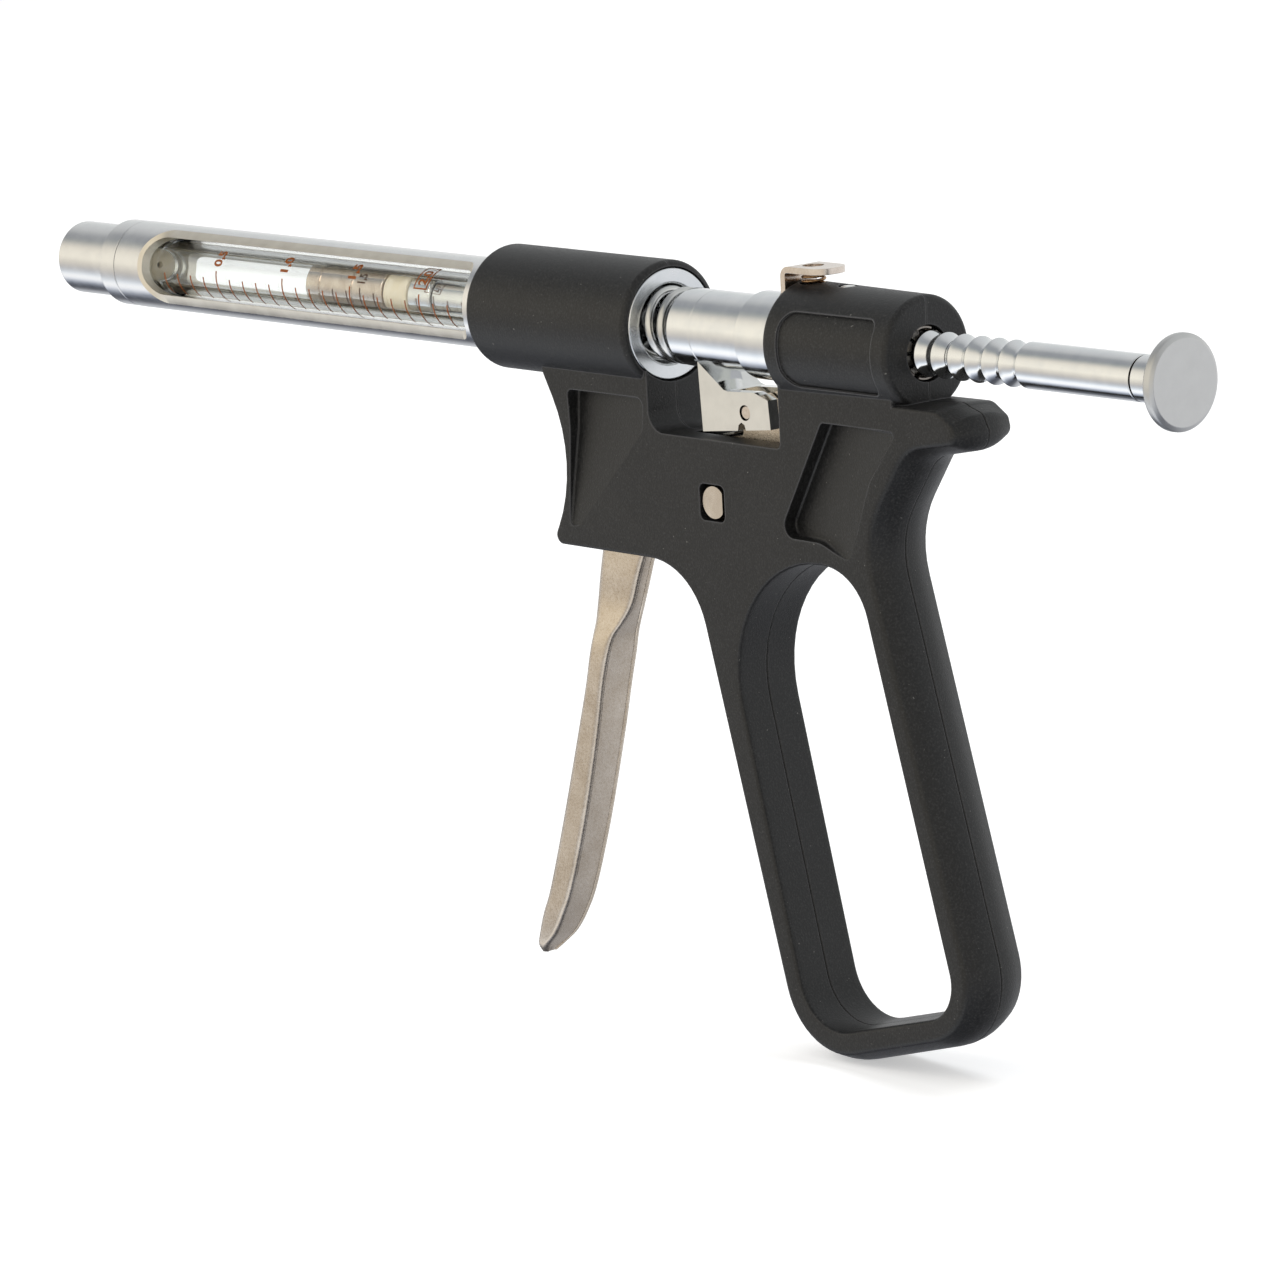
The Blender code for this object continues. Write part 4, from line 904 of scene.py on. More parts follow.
# %% [markdown]
# The side of the housing has a shallow panel, which is blank here. Its cutter is a rounded rectangle
# with the housing's own curve, a little smaller, taken out of it, so the panel's floor stays concentric.

# %% Build both halves
PANEL_DEPTH = 0.4


def panel(side):
    """Cutter for the blank panel on the side of the housing."""
    x0, x1 = HOUSING_X + 3.4, HOUSING_X + 24.4
    outline = rounded([(x0, -6.1, 3.0), (x1, -6.1, 1.6), (x1, 5.7, 1.6), (x0, 5.7, 3.0)])
    low, high = sorted((side * 5.0, side * 12.0))
    inside = core(HOUSING_X - 1, HOUSING_END + 1, HOUSING_FRONT_R - PANEL_DEPTH, HOUSING_REAR_R - PANEL_DEPTH)
    return carve(plate([outline], low, high, side_view), [("DIFFERENCE", inside)])


for name, side in (("body_shell_left", -1), ("body_shell_right", 1)):
    low, high = sorted((side * SPLIT_GAP, -side * 20.0))
    steps = [
        ("UNION", barrel(-COLLAR_LENGTH, COLLAR_R, 0.0, COLLAR_R, 1.0)),
        ("UNION", barrel(HOUSING_X, HOUSING_FRONT_R, HOUSING_END, HOUSING_REAR_R, 1.0)),
        ("DIFFERENCE", block((-60.0, low, -130.0), (90.0, high, 30.0))),
    ]
    cuts = [*cores(), recess(FRONT_RECESS, side), recess(REAR_RECESS, side), panel(side)]
    shell = carve(grip_half(side), steps + [("DIFFERENCE", cut) for cut in cuts])
    gaps = sum(1 for edge in shell.edges if len(edge.link_faces) != 2)
    print(name, "edges without two faces:", gaps)
    dress(f"moulded_{name}", shell, polyamide, "body", [name])

# %% [markdown]
# ## The plated ring, the tube and the nose
#
# A plated ring sits in the collar and holds the barrel tube, which has a long window milled through both
# sides. The window's rim is chamfered, and that chamfer is the bright frame round the glass, lit partly by
# the room and partly by a painted highlight in its colour.
# The tube is screwed in, so its window stands a little turned about the axis.

# %% Ring in the collar
RING_BORE_R = 6.4
SHOULDER_X = -16.0
turned_piece("plated_ring", [
    (-BUSH_LENGTH, TUBE_R + FIT, 0.0), (-BUSH_LENGTH, BUSH_R, 0.2), (0.0, BUSH_R, 0.3),
    (0.0, RING_BORE_R, 0.45), (SHOULDER_X, RING_BORE_R, 0.0), (SHOULDER_X, TUBE_R + FIT, 0.0),
], faced_zinc, "body", ["barrel_bush"])

# %% [markdown]
# The cutter for the window is a loft through six outlines: straight through the wall at the bore and
# wider at the tube's skin on either side.

# %% Tube with its milled window
TUBE_FRONT_X = -139.0
TUBE_REAR_X = SHOULDER_X - 0.3
TUBE_INNER_R = 5.3
WINDOW_FRONT_X = -131.5
WINDOW_REAR_X = -44.0
WINDOW_HALF = 5.0
WINDOW_CHAMFER = 1.6
WINDOW_END_CHAMFER = 0.7
WINDOW_LIP_DEPTH = 0.5
WINDOW_FRONT_R = 4.3
WINDOW_REAR_R = 1.6
WINDOW_TURN = math.radians(-11.3)


def window_outline(grow):
    """Window from the side, grown by a share of its chamfer."""
    chamfer = WINDOW_CHAMFER * grow
    half = WINDOW_HALF + chamfer
    x0 = WINDOW_FRONT_X - WINDOW_END_CHAMFER * grow
    x1 = WINDOW_REAR_X + WINDOW_END_CHAMFER * grow
    front_r, rear_r = WINDOW_FRONT_R + chamfer, WINDOW_REAR_R + chamfer
    corners = rounded([(x0, -half, front_r), (x1, -half, rear_r), (x1, half, rear_r), (x0, half, front_r)])
    run = []
    for (xa, za), (xb, zb) in zip(corners, corners[1:] + corners[:1]):
        pieces = max(1, round(abs(xb - xa) / 4.0))
        run += [(xa + (xb - xa) * k / pieces, za + (zb - za) * k / pieces) for k in range(pieces)]
    return run


def window_cutter():
    """Milling shape that opens out at both outer faces of the tube."""
    mesh = bmesh.new()
    inner, outer = window_outline(0.0), window_outline(1.0)
    skin_r, wall_r = TUBE_R + 0.1, TUBE_R - WINDOW_LIP_DEPTH
    rings = []
    for outline, reach, side in ((outer, None, -1), (outer, skin_r, -1), (inner, wall_r, -1),
                                 (inner, wall_r, 1), (outer, skin_r, 1), (outer, None, 1)):
        depths = [TUBE_R + 2.0 if reach is None else math.sqrt(reach * reach - z * z) for _, z in outline]
        rings.append([mesh.verts.new((x, side * y, z)) for (x, z), y in zip(outline, depths)])
    loft(mesh, rings)
    fill(mesh, rings[0])
    fill(mesh, rings[-1])
    bmesh.ops.triangulate(mesh, faces=mesh.faces)
    bmesh.ops.rotate(mesh, matrix=Matrix.Rotation(WINDOW_TURN, 3, "X"), verts=mesh.verts)
    return outwards(mesh)


tube_blank = turned(rounded([
    (TUBE_FRONT_X, TUBE_INNER_R, 0.0), (TUBE_FRONT_X, TUBE_R, 0.18), (TUBE_REAR_X, TUBE_R, 0.0),
    (TUBE_REAR_X, TUBE_INNER_R, 0.0),
]), 144)
tube = carve(tube_blank, [("DIFFERENCE", window_cutter())])
tube_piece = dress("milled_tube", tube, satin_steel, "body", ["barrel_tube"], hard=24.0)
# The chamfer faces of the window take the rim steel, whose cream tone is a painted highlight.
tube_piece.data.materials.append(rim_steel_painted_highlight)
for face in tube_piece.data.polygons:
    along = (face.center.x - RING_FACE) / MM
    outward = Vector((0.0, face.center.y, face.center.z - AXIS_Z)).normalized()
    if WINDOW_FRONT_X - 2.0 < along < WINDOW_REAR_X + 2.0 and -0.9 < face.normal.dot(outward) < 0.985:
        face.material_index = 1

# %% [markdown]
# The front cap screws into the tube. Its nose is bored out round a small cone, which a needle's hub
# pushes on to. A dark seam shows where cap and tube meet, because there is a real gap there.

# %% Front cap and needle cone
NOSE_FRONT_X = -157.2
FLANGE_X = -143.5
CAP_REAR_X = TUBE_FRONT_X - FIT
SPIGOT_END_X = -135.4
BORE_END_X = NOSE_FRONT_X + 8.5
CAP_R = TUBE_R - 0.04
SPIGOT_R = TUBE_INNER_R - FIT
turned_piece("turned_front_cap", [
    (NOSE_FRONT_X, 4.7, 0.25), (NOSE_FRONT_X, 6.3, 0.45), (FLANGE_X, 6.3, 0.25), (FLANGE_X, CAP_R, 0.3),
    (CAP_REAR_X, CAP_R, 0.15), (CAP_REAR_X, SPIGOT_R, 0.0), (SPIGOT_END_X, SPIGOT_R, 0.2),
    (SPIGOT_END_X, 2.5, 0.0), (BORE_END_X, 2.5, 0.0), (BORE_END_X, 4.7, 0.3),
], satin_steel, "body", ["front_cap"])
turned_piece("turned_needle_cone", [
    (NOSE_FRONT_X + 0.6, 0.6, 0.0), (NOSE_FRONT_X + 0.6, 2.0, 0.25), (BORE_END_X - 0.4, 2.3, 0.0),
    (SPIGOT_END_X, 2.3, 0.0), (SPIGOT_END_X, 0.6, 0.0),
], polished_steel, "body", ["needle_cone"], count=48)

# %% [markdown]
# ## The glass barrel and its scale
#
# A thick glass tube magnifies what is inside it, as a lens does, so the bore and the piston look wider
# than they are. Nothing is painted for that: the wall has its true thickness and the ray finds it.

# %% Glass, front seal and what moves inside
GLASS_R = 5.0
BORE_R = 2.94
SEAL_X = SPIGOT_END_X + 0.3
GLASS_REAR_X = -41.3
turned_piece("glass_dosing_barrel", hollow(SEAL_X + 1.3, GLASS_REAR_X, BORE_R, GLASS_R, 0.35, 0.25),
             glass, "body", ["glass_barrel"])
turned_piece("front_seal", hollow(SEAL_X, SEAL_X + 1.0, 0.6, GLASS_R, 0.15),
             ptfe, "body", ["front_gasket"])

PISTON_X = -89.4
PISTON_END_X = PISTON_X + 20.4
PISTON_R = BORE_R - 0.04
GROOVE_R = PISTON_R - 0.3
STUD_R = 1.65
piston_knots = [(PISTON_X, 0.25, 0.0), (PISTON_X, PISTON_R, 0.3)]
for groove_x in (PISTON_X + 3.2, PISTON_X + 12.0):
    piston_knots += [(groove_x, PISTON_R, 0.05), (groove_x + 0.15, GROOVE_R, 0.05),
                     (groove_x + 0.55, GROOVE_R, 0.05), (groove_x + 0.7, PISTON_R, 0.05)]
piston_knots += [(PISTON_END_X, PISTON_R, 0.2), (PISTON_END_X, STUD_R, 0.0), (PISTON_X + 4.0, STUD_R, 0.0),
                 (PISTON_X + 4.0, 0.25, 0.0)]
# The piston's warm, dark tint is painted reflection and shade.
turned_piece("ground_piston", piston_knots, painted_dark_piston_steel, "plunger", ["piston"])
RING_X = PISTON_END_X + 0.3
RING_END_X = RING_X + 6.1
NUT_X = RING_END_X + 0.3
NUT_END_X = NUT_X + 5.8
turned_piece("ptfe_piston_ring", hollow(RING_X, RING_END_X, STUD_R, PISTON_R - 0.1, 0.35),
             ptfe, "plunger", ["piston_ring"])
turned_piece("plated_piston_nut", hollow(NUT_X, NUT_END_X, STUD_R, PISTON_R - 0.1, 0.4),
             zinc_plate, "plunger", ["piston_nut"])

# %% [markdown]
# The scale is fired on the glass in amber ink: a tick for each tenth of a millilitre, a longer one for
# each half, and a number at each half turned to be read with the needle up. The strokes are real strips
# wrapped on the glass. The numbers come from Blender's own typeface, sliced finely so that they bend.

# %% Print the scale
ZERO_X = -131.2
TENTH = 3.68
INK_LIFT = 0.02
INK_THICK = 0.02
LINE = 0.32
NUMERAL_HEIGHT = 2.0
NUMERAL_RUN = 3.1
NUMERAL_WEIGHT = 0.034
NUMERAL_SLICES = 14


def on_glass(x, degrees, lift):
    """Point on the glass, with the angle taken from the front side towards the top."""
    reach = GLASS_R + lift
    swing = math.radians(degrees)
    return (x, -reach * math.cos(swing), reach * math.sin(swing))


def stroke(mesh, x0, x1, a0, a1):
    """Thin printed strip between two places along the barrel and two angles."""
    count = max(1, math.ceil(abs(a1 - a0) / 3.0))
    upper = INK_LIFT + INK_THICK
    rings = []
    for k in range(count + 1):
        degrees = a0 + (a1 - a0) * k / count
        rings.append([mesh.verts.new(on_glass(x, degrees, lift)) for x, lift in
                      ((x0, INK_LIFT), (x1, INK_LIFT), (x1, upper), (x0, upper))])
    loft(mesh, rings)
    mesh.faces.new(rings[0])
    mesh.faces.new(rings[-1][::-1])


def numeral(mesh, text, x, start):
    """Number printed round the glass from a start angle, its top towards the needle."""
    words = bpy.data.curves.new("scale_number", "FONT")
    words.body = text
    words.extrude = 0.5
    words.offset = NUMERAL_WEIGHT
    holder = bpy.data.objects.new("scale_number", words)
    scene.collection.objects.link(holder)
    flat = bpy.data.meshes.new_from_object(holder.evaluated_get(bpy.context.evaluated_depsgraph_get()))
    part = bmesh.new()
    part.from_mesh(flat)
    bpy.data.objects.remove(holder)
    bpy.data.curves.remove(words)
    bpy.data.meshes.remove(flat)
    low = Vector([min(v.co[k] for v in part.verts) for k in range(3)])
    high = Vector([max(v.co[k] for v in part.verts) for k in range(3)])
    for k in range(1, NUMERAL_SLICES):
        at = low.x + (high.x - low.x) * k / NUMERAL_SLICES
        bmesh.ops.bisect_plane(part, geom=part.verts[:] + part.edges[:] + part.faces[:],
                               plane_co=(at, 0, 0), plane_no=(1, 0, 0))
    for vert in part.verts:
        along = (vert.co.x - low.x) / (high.x - low.x) * NUMERAL_RUN
        height = vert.co.y / (high.y - max(low.y, 0.0)) * NUMERAL_HEIGHT
        lift = INK_LIFT + (INK_THICK if vert.co.z > 0 else 0.0)
        vert.co = on_glass(x + NUMERAL_HEIGHT / 2 - height, start + math.degrees(along / GLASS_R), lift)
    packed = bpy.data.meshes.new("scale_number")
    part.to_mesh(packed)
    part.free()
    mesh.from_mesh(packed)
    bpy.data.meshes.remove(packed)


# Lowest and highest angle of a long tick, of a short one and of the frame round the last number
LONG_TICK = (-63.0, 13.0)
SHORT_TICK = (-54.0, -1.5)
FRAME = (22.5, 78.5)
FRAME_HALF = 1.6
FRAME_LINE = 0.28
FRAME_LINE_TURN = 3.0
print_mesh = bmesh.new()
for tenth in range(1, 23):
    x = ZERO_X + TENTH * tenth
    stroke(print_mesh, x - LINE / 2, x + LINE / 2, *(SHORT_TICK if tenth % 5 else LONG_TICK))
for tenth, text, start in ((5, "0,5", 22.0), (10, "1,0", 26.0), (15, "1,5", 28.0), (20, "2,0", 31.0)):
    numeral(print_mesh, text, ZERO_X + TENTH * tenth, start)
frame_x = (ZERO_X + TENTH * 20 - FRAME_HALF, ZERO_X + TENTH * 20 + FRAME_HALF)
for x in frame_x:
    stroke(print_mesh, x - FRAME_LINE / 2, x + FRAME_LINE / 2, *FRAME)
for degrees in (FRAME[0], FRAME[1] - FRAME_LINE_TURN):
    stroke(print_mesh, frame_x[0] + FRAME_LINE / 2, frame_x[1] - FRAME_LINE / 2, degrees,
           degrees + FRAME_LINE_TURN)
dress("dose_scale", outwards(print_mesh), ink, "body", [])

# %% [markdown]
# ## The plunger
#
# The ribbed rod is turned and plated. Each groove is a smooth hollow and each rib ends in a narrow crest,
# so every rib shows the whole room in small. Behind the ribs the rod is plain, and the knob screws on to
# its end with an open joint that has browned.

# %% Ribbed rod and slim rod
PITCH = 3.68
RIBS = 21
RIBS_END_X = 82.0
ROD_END_X = 105.7
GROOVE_DEPTH = 1.1
CREST_WIDTH = 0.3
ribs_start = RIBS_END_X - RIBS * PITCH
rod_outline = [(ribs_start + 9.3, 0.15), (ribs_start + 9.3, 1.75), (ribs_start, 1.75),
               (ribs_start, ROD_R - 0.15)]
for rib in range(RIBS):
    x = ribs_start + rib * PITCH
    rod_outline += [(x + 0.05, ROD_R - 0.04), (x + CREST_WIDTH / 2, ROD_R),
                    (x + CREST_WIDTH - 0.05, ROD_R - 0.04)]
    for k in range(1, 12):
        depth = GROOVE_DEPTH * math.sin(math.pi * k / 12) ** 0.8
        rod_outline.append((x + CREST_WIDTH + (PITCH - CREST_WIDTH) * k / 12, ROD_R - depth))
rod_outline += rounded([
    (RIBS_END_X + 0.02, ROD_R - 0.02, 0.0), (ROD_END_X, ROD_R, 0.18), (ROD_END_X, 1.8, 0.0),
    (ROD_END_X - 8, 1.8, 0.0), (ROD_END_X - 8, 0.15, 0.0),
])
dress("plated_ribbed_rod", turned(rod_outline, 72), zinc_plate, "plunger", ["ribbed_rod"],
      hard=50.0)
SLIM_R = 2.45
turned_piece("plated_piston_rod", [
    (PISTON_X + 4.3, 0.0, 0.0), (PISTON_X + 4.3, 1.45, 0.0), (NUT_END_X + 0.3, 1.45, 0.0),
    (NUT_END_X + 0.3, SLIM_R, 0.2), (ribs_start - 0.2, SLIM_R, 0.1), (ribs_start - 0.2, 1.55, 0.0),
    (ribs_start + 9, 1.55, 0.0), (ribs_start + 9, 0.0, 0.0),
], zinc_plate, "plunger", ["piston_rod"], count=64)

# %% [markdown]
# The knob is a turned disc with a rolled edge on a short neck. Its face was tumbled to a dull satin, its
# neck keeps the rod's bright plate, and the thread that shows in the open joint is browned.

# %% Thumb knob
KNOB_FACE_X = 114.0
KNOB_R = 7.35
NECK_X = ROD_END_X + 0.35
NECK_R = ROD_R - 0.02
knob_piece = turned_piece("satin_thumb_knob", [
    (ROD_END_X - 7.7, 0.0, 0.0), (ROD_END_X - 7.7, 1.6, 0.0), (NECK_X, 1.6, 0.0), (NECK_X, NECK_R, 0.15),
    (KNOB_FACE_X - 4.6, NECK_R, 1.6), (KNOB_FACE_X - 2.2, KNOB_R - 0.9, 0.8),
    (KNOB_FACE_X - 1.5, KNOB_R, 0.6), (KNOB_FACE_X - 0.45, KNOB_R, 0.5), (KNOB_FACE_X, KNOB_R - 0.75, 0.4),
    (KNOB_FACE_X, 0.0, 0.0),
], satin_knob, "plunger", ["thumb_knob"], hard=40.0)
knob_piece.data.materials.append(zinc_plate)
knob_piece.data.materials.append(browned)
for face in knob_piece.data.polygons:
    along = (face.center.x - RING_FACE) / MM
    if along < KNOB_FACE_X - 4.4:
        face.material_index = 2 if along < NECK_X + 0.01 else 1

# %% [markdown]
# ## The drive sleeve and its spring
#
# The pawl pushes the sleeve forward, and the spring returns it. The sleeve is plated like the rod.
# It has a faint tool line near its front and a wider band at its back.

# %% Drive sleeve and return spring
SLEEVE_FRONT_X = 5.6
SLEEVE_REAR_X = 30.0
SLEEVE_R = 6.2
BAND_R = 7.0
SEAT_X = 24.0
SEAT_R = 5.5
ROD_BORE_R = 3.8
sleeve_blank = turned(rounded([
    (SLEEVE_FRONT_X, ROD_BORE_R, 0.0), (SLEEVE_FRONT_X, SLEEVE_R, 0.4), (11.0, SLEEVE_R, 0.03),
    (11.12, SLEEVE_R - 0.08, 0.03), (11.24, SLEEVE_R, 0.03), (22.4, SLEEVE_R, 0.1), (22.75, BAND_R, 0.12),
    (SLEEVE_REAR_X, BAND_R, 0.35), (SLEEVE_REAR_X, SEAT_R, 0.0), (SEAT_X, SEAT_R, 0.0),
    (SEAT_X, ROD_BORE_R, 0.0),
]))
notch = block((10.2, -9.0, -9.0), (14.4, 9.0, -4.3))
sleeve = carve(sleeve_blank, [("DIFFERENCE", notch)])
dress("plated_drive_sleeve", sleeve, zinc_plate, "sleeve", ["drive_sleeve"])


def wire(points, radius, sides=14):
    """Round wire along a list of points, closed at both ends."""
    mesh = bmesh.new()
    rings = []
    across = Vector((0, 0, 1))
    angles = [2 * math.pi * k / sides for k in range(sides)]
    for index, point in enumerate(points):
        ahead = Vector(points[min(index + 1, len(points) - 1)])
        behind = Vector(points[max(index - 1, 0)])
        along = (ahead - behind).normalized()
        across = (across - along * across.dot(along)).normalized()
        other = along.cross(across)
        rings.append([mesh.verts.new(Vector(point) + across * (radius * math.cos(t))
                                     + other * (radius * math.sin(t))) for t in angles])
    return closed_loft(mesh, rings)


def helix(start, end, close_pitch, turn_count, steps):
    """Place along the axis and angle of each step of a spring with closed ends."""
    length = end - start
    open_pitch = (length - 2 * close_pitch) / (turn_count - 2)
    rows = []
    for step in range(turn_count * steps + 1):
        at = step / steps
        if at <= 1:
            along = at * close_pitch
        elif at >= turn_count - 1:
            along = length - (turn_count - at) * close_pitch
        else:
            along = close_pitch + (at - 1) * open_pitch
        rows.append((start + along, 2 * math.pi * at))
    return rows


WIRE_R = 0.68
COIL_R = 5.5
coil = [(x, COIL_R * math.cos(t), COIL_R * math.sin(t))
        for x, t in helix(TUBE_REAR_X + 0.3 + WIRE_R, SLEEVE_FRONT_X - 0.3 - WIRE_R, 1.6, 6, 40)]
dress("sleeve_return_spring", wire(coil, WIRE_R), spring_steel, "body", ["return_spring"],
      hard=60.0)

# %% [markdown]
# ## The lock plate, its spring and the guide
#
# The lock plate is one piece of bent sheet. Its leg drops behind the sleeve, and its tab stands over a
# small bronze spring: pressing the tab frees the rod. The broken edges of the sheet are in its finish.

# %% Lock plate and its spring
SHEET = 1.0
PLATE_HALF = 3.4
CORNER_HALF = PLATE_HALF - 0.02
TAB_TOP_Z = 11.8
LEG_X = HOUSING_X - 0.3 - SHEET
LEG_BACK_X = LEG_X + SHEET
TAB_END_X = LEG_X + 9.2
TAB_CORNER_R = 2.6
bend = rounded([
    (LEG_X, 5.0, 0.0), (LEG_X, TAB_TOP_Z, 1.7), (TAB_END_X, TAB_TOP_Z, 0.0),
    (TAB_END_X, TAB_TOP_Z - SHEET, 0.0), (LEG_BACK_X, TAB_TOP_Z - SHEET, 0.5), (LEG_BACK_X, 5.0, 0.0),
])
corner_x = TAB_END_X - TAB_CORNER_R - 1.0
corner_cutter = plate([rounded([
    (corner_x, -9.0, 0.0), (TAB_END_X + 2, -9.0, 0.0), (TAB_END_X + 2, 9.0, 0.0), (corner_x, 9.0, 0.0),
    (corner_x, CORNER_HALF, 0.0), (TAB_END_X - 0.05, CORNER_HALF, TAB_CORNER_R),
    (TAB_END_X - 0.05, -CORNER_HALF, TAB_CORNER_R), (corner_x, -CORNER_HALF, 0.0),
])], 9.0, 14.0, top_view)
leg = rounded([
    (-PLATE_HALF, 7.6, 0.0), (-5.5, 5.2, 1.5), (-5.5, -8.0, 3.5), (5.5, -8.0, 3.5), (5.5, 5.2, 1.5),
    (PLATE_HALF, 7.6, 0.0),
])
# The rod's hole is longer than it is wide, so that the plate can be pressed down over the rod
HOLE_TRAVEL = 1.2
rod_hole = [(ROD_BORE_R * math.cos(math.pi * k / 24),
             ROD_BORE_R * math.sin(math.pi * k / 24) + (HOLE_TRAVEL if k <= 24 else 0.0)) for k in range(49)]
lock = carve(plate([bend], -PLATE_HALF, PLATE_HALF, side_view), [
    ("UNION", plate([leg, rod_hole], LEG_X, LEG_BACK_X, end_view)),
    ("DIFFERENCE", plate([rod_hole], LEG_X - 1, LEG_BACK_X + 1, end_view)),
    ("DIFFERENCE", plate([circle(TAB_HOLE_X, 0.0, 1.7)], 9.0, 14.0, top_view)),
    ("DIFFERENCE", corner_cutter),
])
dress("bent_lock_plate", lock, sheet_nickel, "lock", ["lock_plate"])

LOCK_WIRE_R = 0.22
LOCK_COIL_R = 1.75
lock_coil = [
    (TAB_HOLE_X + LOCK_COIL_R * math.cos(t), LOCK_COIL_R * math.sin(t), z) for z, t in
    helix(SPRING_SEAT_Z + 0.3 + LOCK_WIRE_R, TAB_TOP_Z - SHEET - 0.3 - LOCK_WIRE_R, 0.6, 4, 36)
]
dress("bronze_lock_spring", wire(lock_coil, LOCK_WIRE_R, 12), bronze_wire, "body",
      ["lock_spring"], hard=60.0)

# %% [markdown]
# The rod runs through a castellated bush in the back of the housing, which a small domed screw holds.

# %% Guide bush and screw
GUIDE_STEP_X = GUIDE_X + 16.6
GUIDE_END_X = GUIDE_X + 19.4
CROWN_R = 4.2
guide_blank = turned(rounded([
    (GUIDE_X, ROD_BORE_R, 0.0), (GUIDE_X, GUIDE_R, 0.2), (GUIDE_STEP_X, GUIDE_R, 0.2),
    (GUIDE_STEP_X, CROWN_R, 0.0), (GUIDE_END_X, CROWN_R, 0.12), (GUIDE_END_X, ROD_BORE_R, 0.08),
]), 72)
GAP_HALF = 0.55
teeth = []
for index in range(3):
    slot = block((GUIDE_X + 17.4, -9.0, -GAP_HALF), (GUIDE_X + 24.0, 9.0, GAP_HALF))
    bmesh.ops.transform(slot, matrix=Matrix.Rotation(math.pi * index / 3, 4, "X"), verts=slot.verts)
    teeth.append(("DIFFERENCE", slot))
guide = carve(guide_blank, teeth)
# The bush is coloured dark: painted shade inside the housing.
dress("castellated_guide_bush", guide, zinc_bush_painted_shade, "body", ["rear_guide_bush"])
screw_top = HOUSING_FRONT_R - 0.15
dome = [(screw_top - 0.55, 1.4), (screw_top - 0.3, 1.32), (screw_top - 0.12, 1.05), (screw_top - 0.03, 0.6),
        (screw_top, 0.2)]
screw = bmesh.new()
rings = [[screw.verts.new((x, y, z)) for x, y in circle(SCREW_X, 0.0, radius, 32)]
         for z, radius in [(GUIDE_R - 0.9, 1.4), *dome]]
screw = closed_loft(screw, rings)
dress("domed_guide_screw", screw, polished_steel, "body", ["guide_screw"])

# %% [markdown]
# ## The trigger
#
# The trigger is a casting. A flat lever inside the body carries the pawl, and below the body it
# widens into a grip for the finger. Its rear edges stand up in a rounded bead that catches the light,
# with a fine crease beside it, and the front is rounded over. The grip is a loft down a row of stations.

# %% Loft the finger grip
# Front x and z, rear x and z, half width
STATIONS = [
    (-18.2, -36.5, -7.2, -36.5, 1.7),
    (-19.3, -41.5, -9.3, -41.5, 1.95),
    (-20.3, -46.5, -11.3, -46.5, 2.0),
    (-20.7, -49.8, -13.2, -49.6, 2.6),
    (-20.9, -52.6, -15.0, -52.2, 3.4),
    (-21.6, -56.0, -16.2, -55.5, 3.75),
    (-22.9, -61.4, -17.8, -60.8, 3.8),
    (-25.9, -70.0, -20.0, -69.5, 3.65),
    (-30.9, -84.8, -24.3, -84.0, 3.5),
    (-35.2, -96.8, -28.6, -95.8, 3.4),
    (-37.4, -101.4, -31.3, -101.0, 3.3),
    (-38.7, -104.8, -33.8, -104.6, 3.0),
    (-39.3, -107.0, -36.4, -107.0, 2.5),
    (-38.9, -108.4, -37.9, -108.5, 1.5),
]


def smooth_rows(rows, between_rows):
    """Rows with more of them along a smooth curve through each column."""
    dense = []
    for index in range(len(rows) - 1):
        before, here = rows[max(index - 1, 0)], rows[index]
        ahead, beyond = rows[index + 1], rows[min(index + 2, len(rows) - 1)]
        for k in range(between_rows):
            t = k / between_rows
            dense.append(tuple(0.5 * (2 * b + (c - a) * t + (2 * a - 5 * b + 4 * c - d) * t * t
                                      + (3 * b - a - 3 * c + d) * t ** 3)
                               for a, b, c, d in zip(before, here, ahead, beyond)))
    return dense + [rows[-1]]


def grip_section(depth, half):
    """Half of the grip's section: distance in from the rear face, and distance from the middle."""
    bead = min(0.95, half * 0.5)
    points = [(0.16, 0.0), (0.16, half - bead - 0.35), (0.24, half - bead - 0.22), (0.22, half - bead - 0.12)]
    for k in range(7):
        swing = math.pi / 2 * k / 6
        points.append((bead - bead * math.cos(swing), half - bead + bead * math.sin(swing)))
    front_r = min(depth * 0.42, half * 1.2)
    for k in range(8):
        swing = math.pi / 2 * k / 8
        points.append((depth - front_r + front_r * math.sin(swing), half * (0.22 + 0.78 * math.cos(swing))))
    return points + [(depth, half * 0.1)]


grip_mesh = bmesh.new()
rings = []
for front_x, front_z, rear_x, rear_z, half in smooth_rows(STATIONS, 5):
    inward = Vector((front_x - rear_x, front_z - rear_z))
    depth = inward.length
    inward.normalize()
    section = grip_section(depth, half)
    loop = [(d, w) for d, w in section] + [(d, -w) for d, w in reversed(section) if w > 0]
    rings.append([grip_mesh.verts.new((rear_x + inward.x * d, w, rear_z + inward.y * d)) for d, w in loop])
closed_loft(grip_mesh, rings)
print("finger grip stations", len(rings))

# %% [markdown]
# The lever's plate is cut from its own outline, with the holes of its two pins, and the grip is joined to it.

# %% Lever plate and pivot pin
LEVER_PLATE = [
    (-18.2, -36.8, 0.0), (-16.4, -33.4, 2.0), (-5.5, -27.6, 3.0), (6.3, -22.0, 3.0), (13.0, -17.0, 1.0),
    (18.0, -16.2, 0.4), (18.4, -13.0, 0.0), (19.0, -10.6, 0.0), (21.2, -9.4, 1.0), (23.6, -10.9, 0.6),
    (26.6, -14.4, 0.6), (30.0, -14.9, 0.5), (30.2, -17.2, 1.0), (21.2, -28.0, 4.0), (17.5, -32.2, 3.0),
    (7.0, -32.6, 3.0), (-1.5, -34.4, 2.0), (-6.9, -36.8, 0.0),
]
LEVER_HALF = 1.7
PIVOT_R = 2.6
PAWL_X, PAWL_Z = 21.2, -12.0
pin_holes = [circle(PIVOT_X, PIVOT_Z, PIVOT_R + FIT), circle(PAWL_X, PAWL_Z, 1.2, 32)]
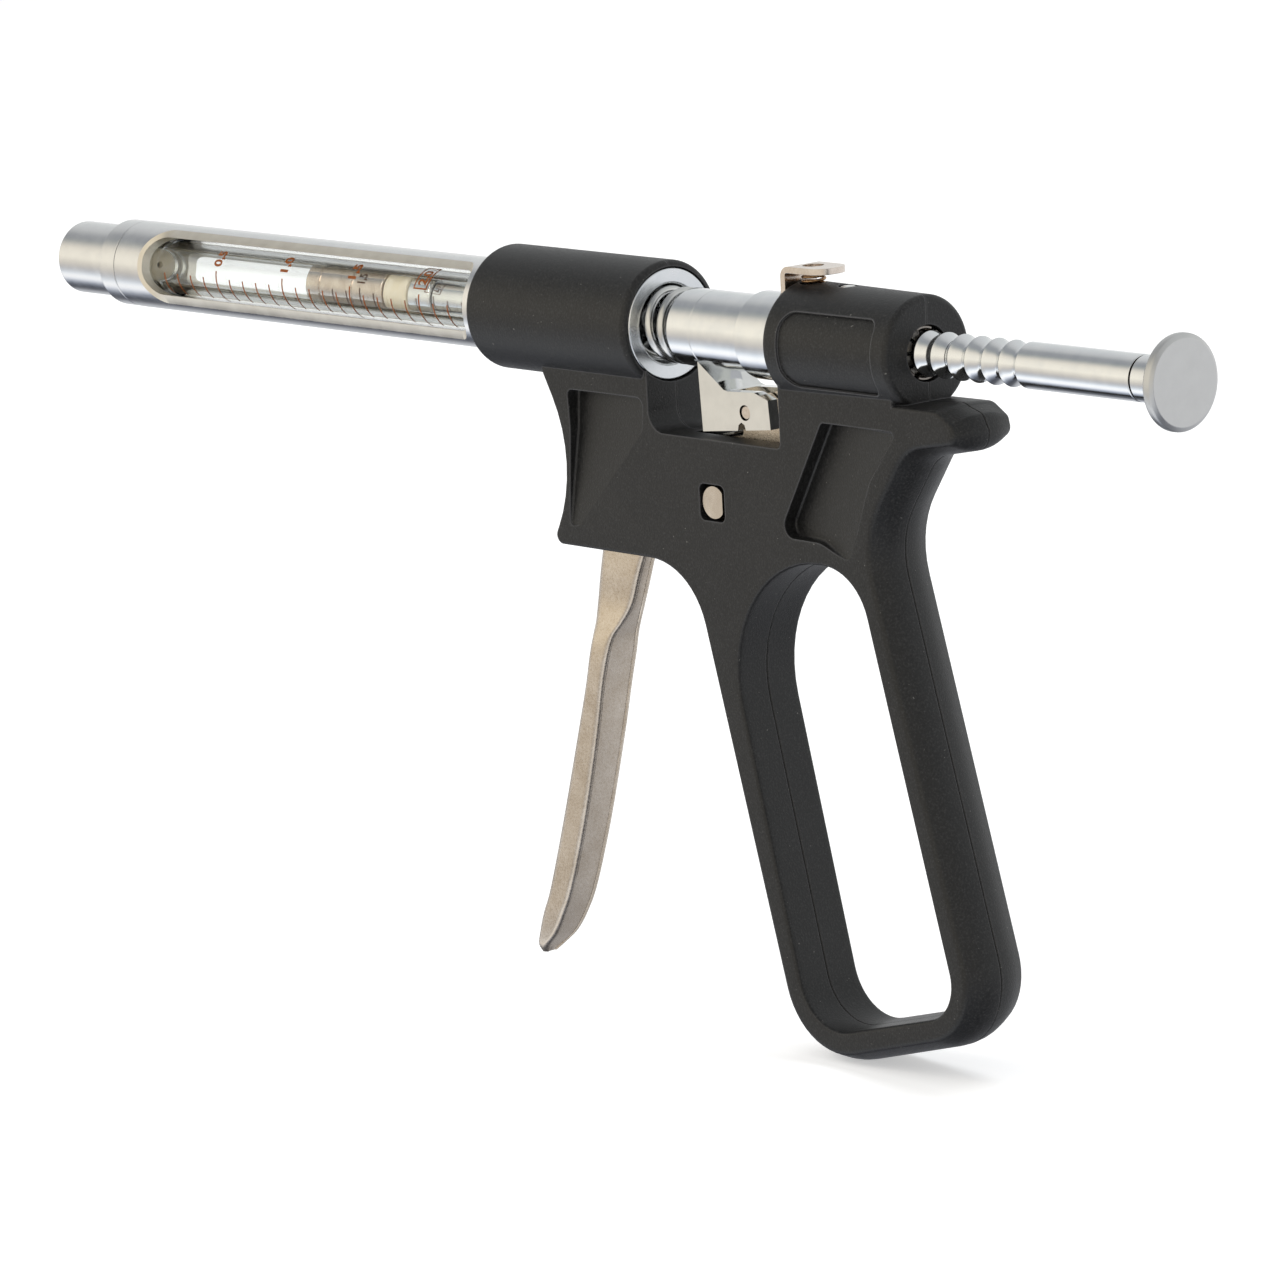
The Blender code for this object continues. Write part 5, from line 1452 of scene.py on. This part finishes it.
lever = plate([rounded(LEVER_PLATE), *pin_holes], -LEVER_HALF, LEVER_HALF, side_view)
lever = carve(lever, [("UNION", grip_mesh)])
dress("cast_trigger_lever", lever, cast_nickel, "trigger", ["trigger_lever"], hard=38.0)
flat_x = PIVOT_X + PIVOT_R * 0.78
pin_outline = [(min(x, flat_x), z) for x, z in circle(PIVOT_X, PIVOT_Z, PIVOT_R)]
pin = plate([pin_outline], -HALF_WIDTH + 0.35, HALF_WIDTH - 0.35, side_view)
dress("flatted_pivot_pin", pin, faced_nickel, "body", ["trigger_pivot_pin"])

# %% [markdown]
# ## The pawl
#
# The pawl is a small ground block, forked over the lever on a pin. Its ramp meets the sleeve from below.

# %% Pawl block and pin
PAWL_OUTLINE = [
    (10.5, -4.7), (16.4, -8.7), (17.4, -8.9), (23.6, -8.6), (26.7, -9.6), (27.1, -14.2), (21.3, -14.78),
    (21.0, -13.95), (20.3, -13.6), (19.6, -14.05), (19.4, -14.97), (11.1, -15.8),
]
PAWL_HALF = 4.0
FORK_X = 17.6
fork = block((FORK_X, -2.0, -20.0), (30.0, 2.0, -4.0))
pawl = plate([PAWL_OUTLINE, circle(PAWL_X, PAWL_Z, 1.25, 32)], -PAWL_HALF, PAWL_HALF, side_view)
pawl = carve(pawl, [("DIFFERENCE", fork)])
dress("ground_pawl_block", pawl, polished_steel, "pawl", ["pawl_block"])
pin = plate([circle(PAWL_X, PAWL_Z, 1.0, 32)], 0.25 - PAWL_HALF, PAWL_HALF - 0.25, side_view)
dress("pawl_cross_pin", pin, sheet_nickel, "trigger", ["pawl_pin"])

# %% [markdown]
# ## Parts kept from the CAD
#
# A few inner parts hardly show: the rear seal, the ring that clamps the glass, the catch inside the
# sleeve and the pawl's leaf spring. Their CAD meshes stay, and each takes a real finish.

# %% Finish the kept parts
KEPT = {"rear_gasket": rubber, "barrel_clamp_ring": satin_steel, "rod_catch": spring_steel,
        "pawl_leaf_spring": spring_steel}
for name, material in KEPT.items():
    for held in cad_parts[name].material_slots:
        held.material = material
    print(name, "now", material.name)

# %% [markdown]
# ## Close the lesson
#
# The view stays standard, so a colour renders as it is written.

# %% Keep the view standard
scene.view_settings.view_transform = "Standard"
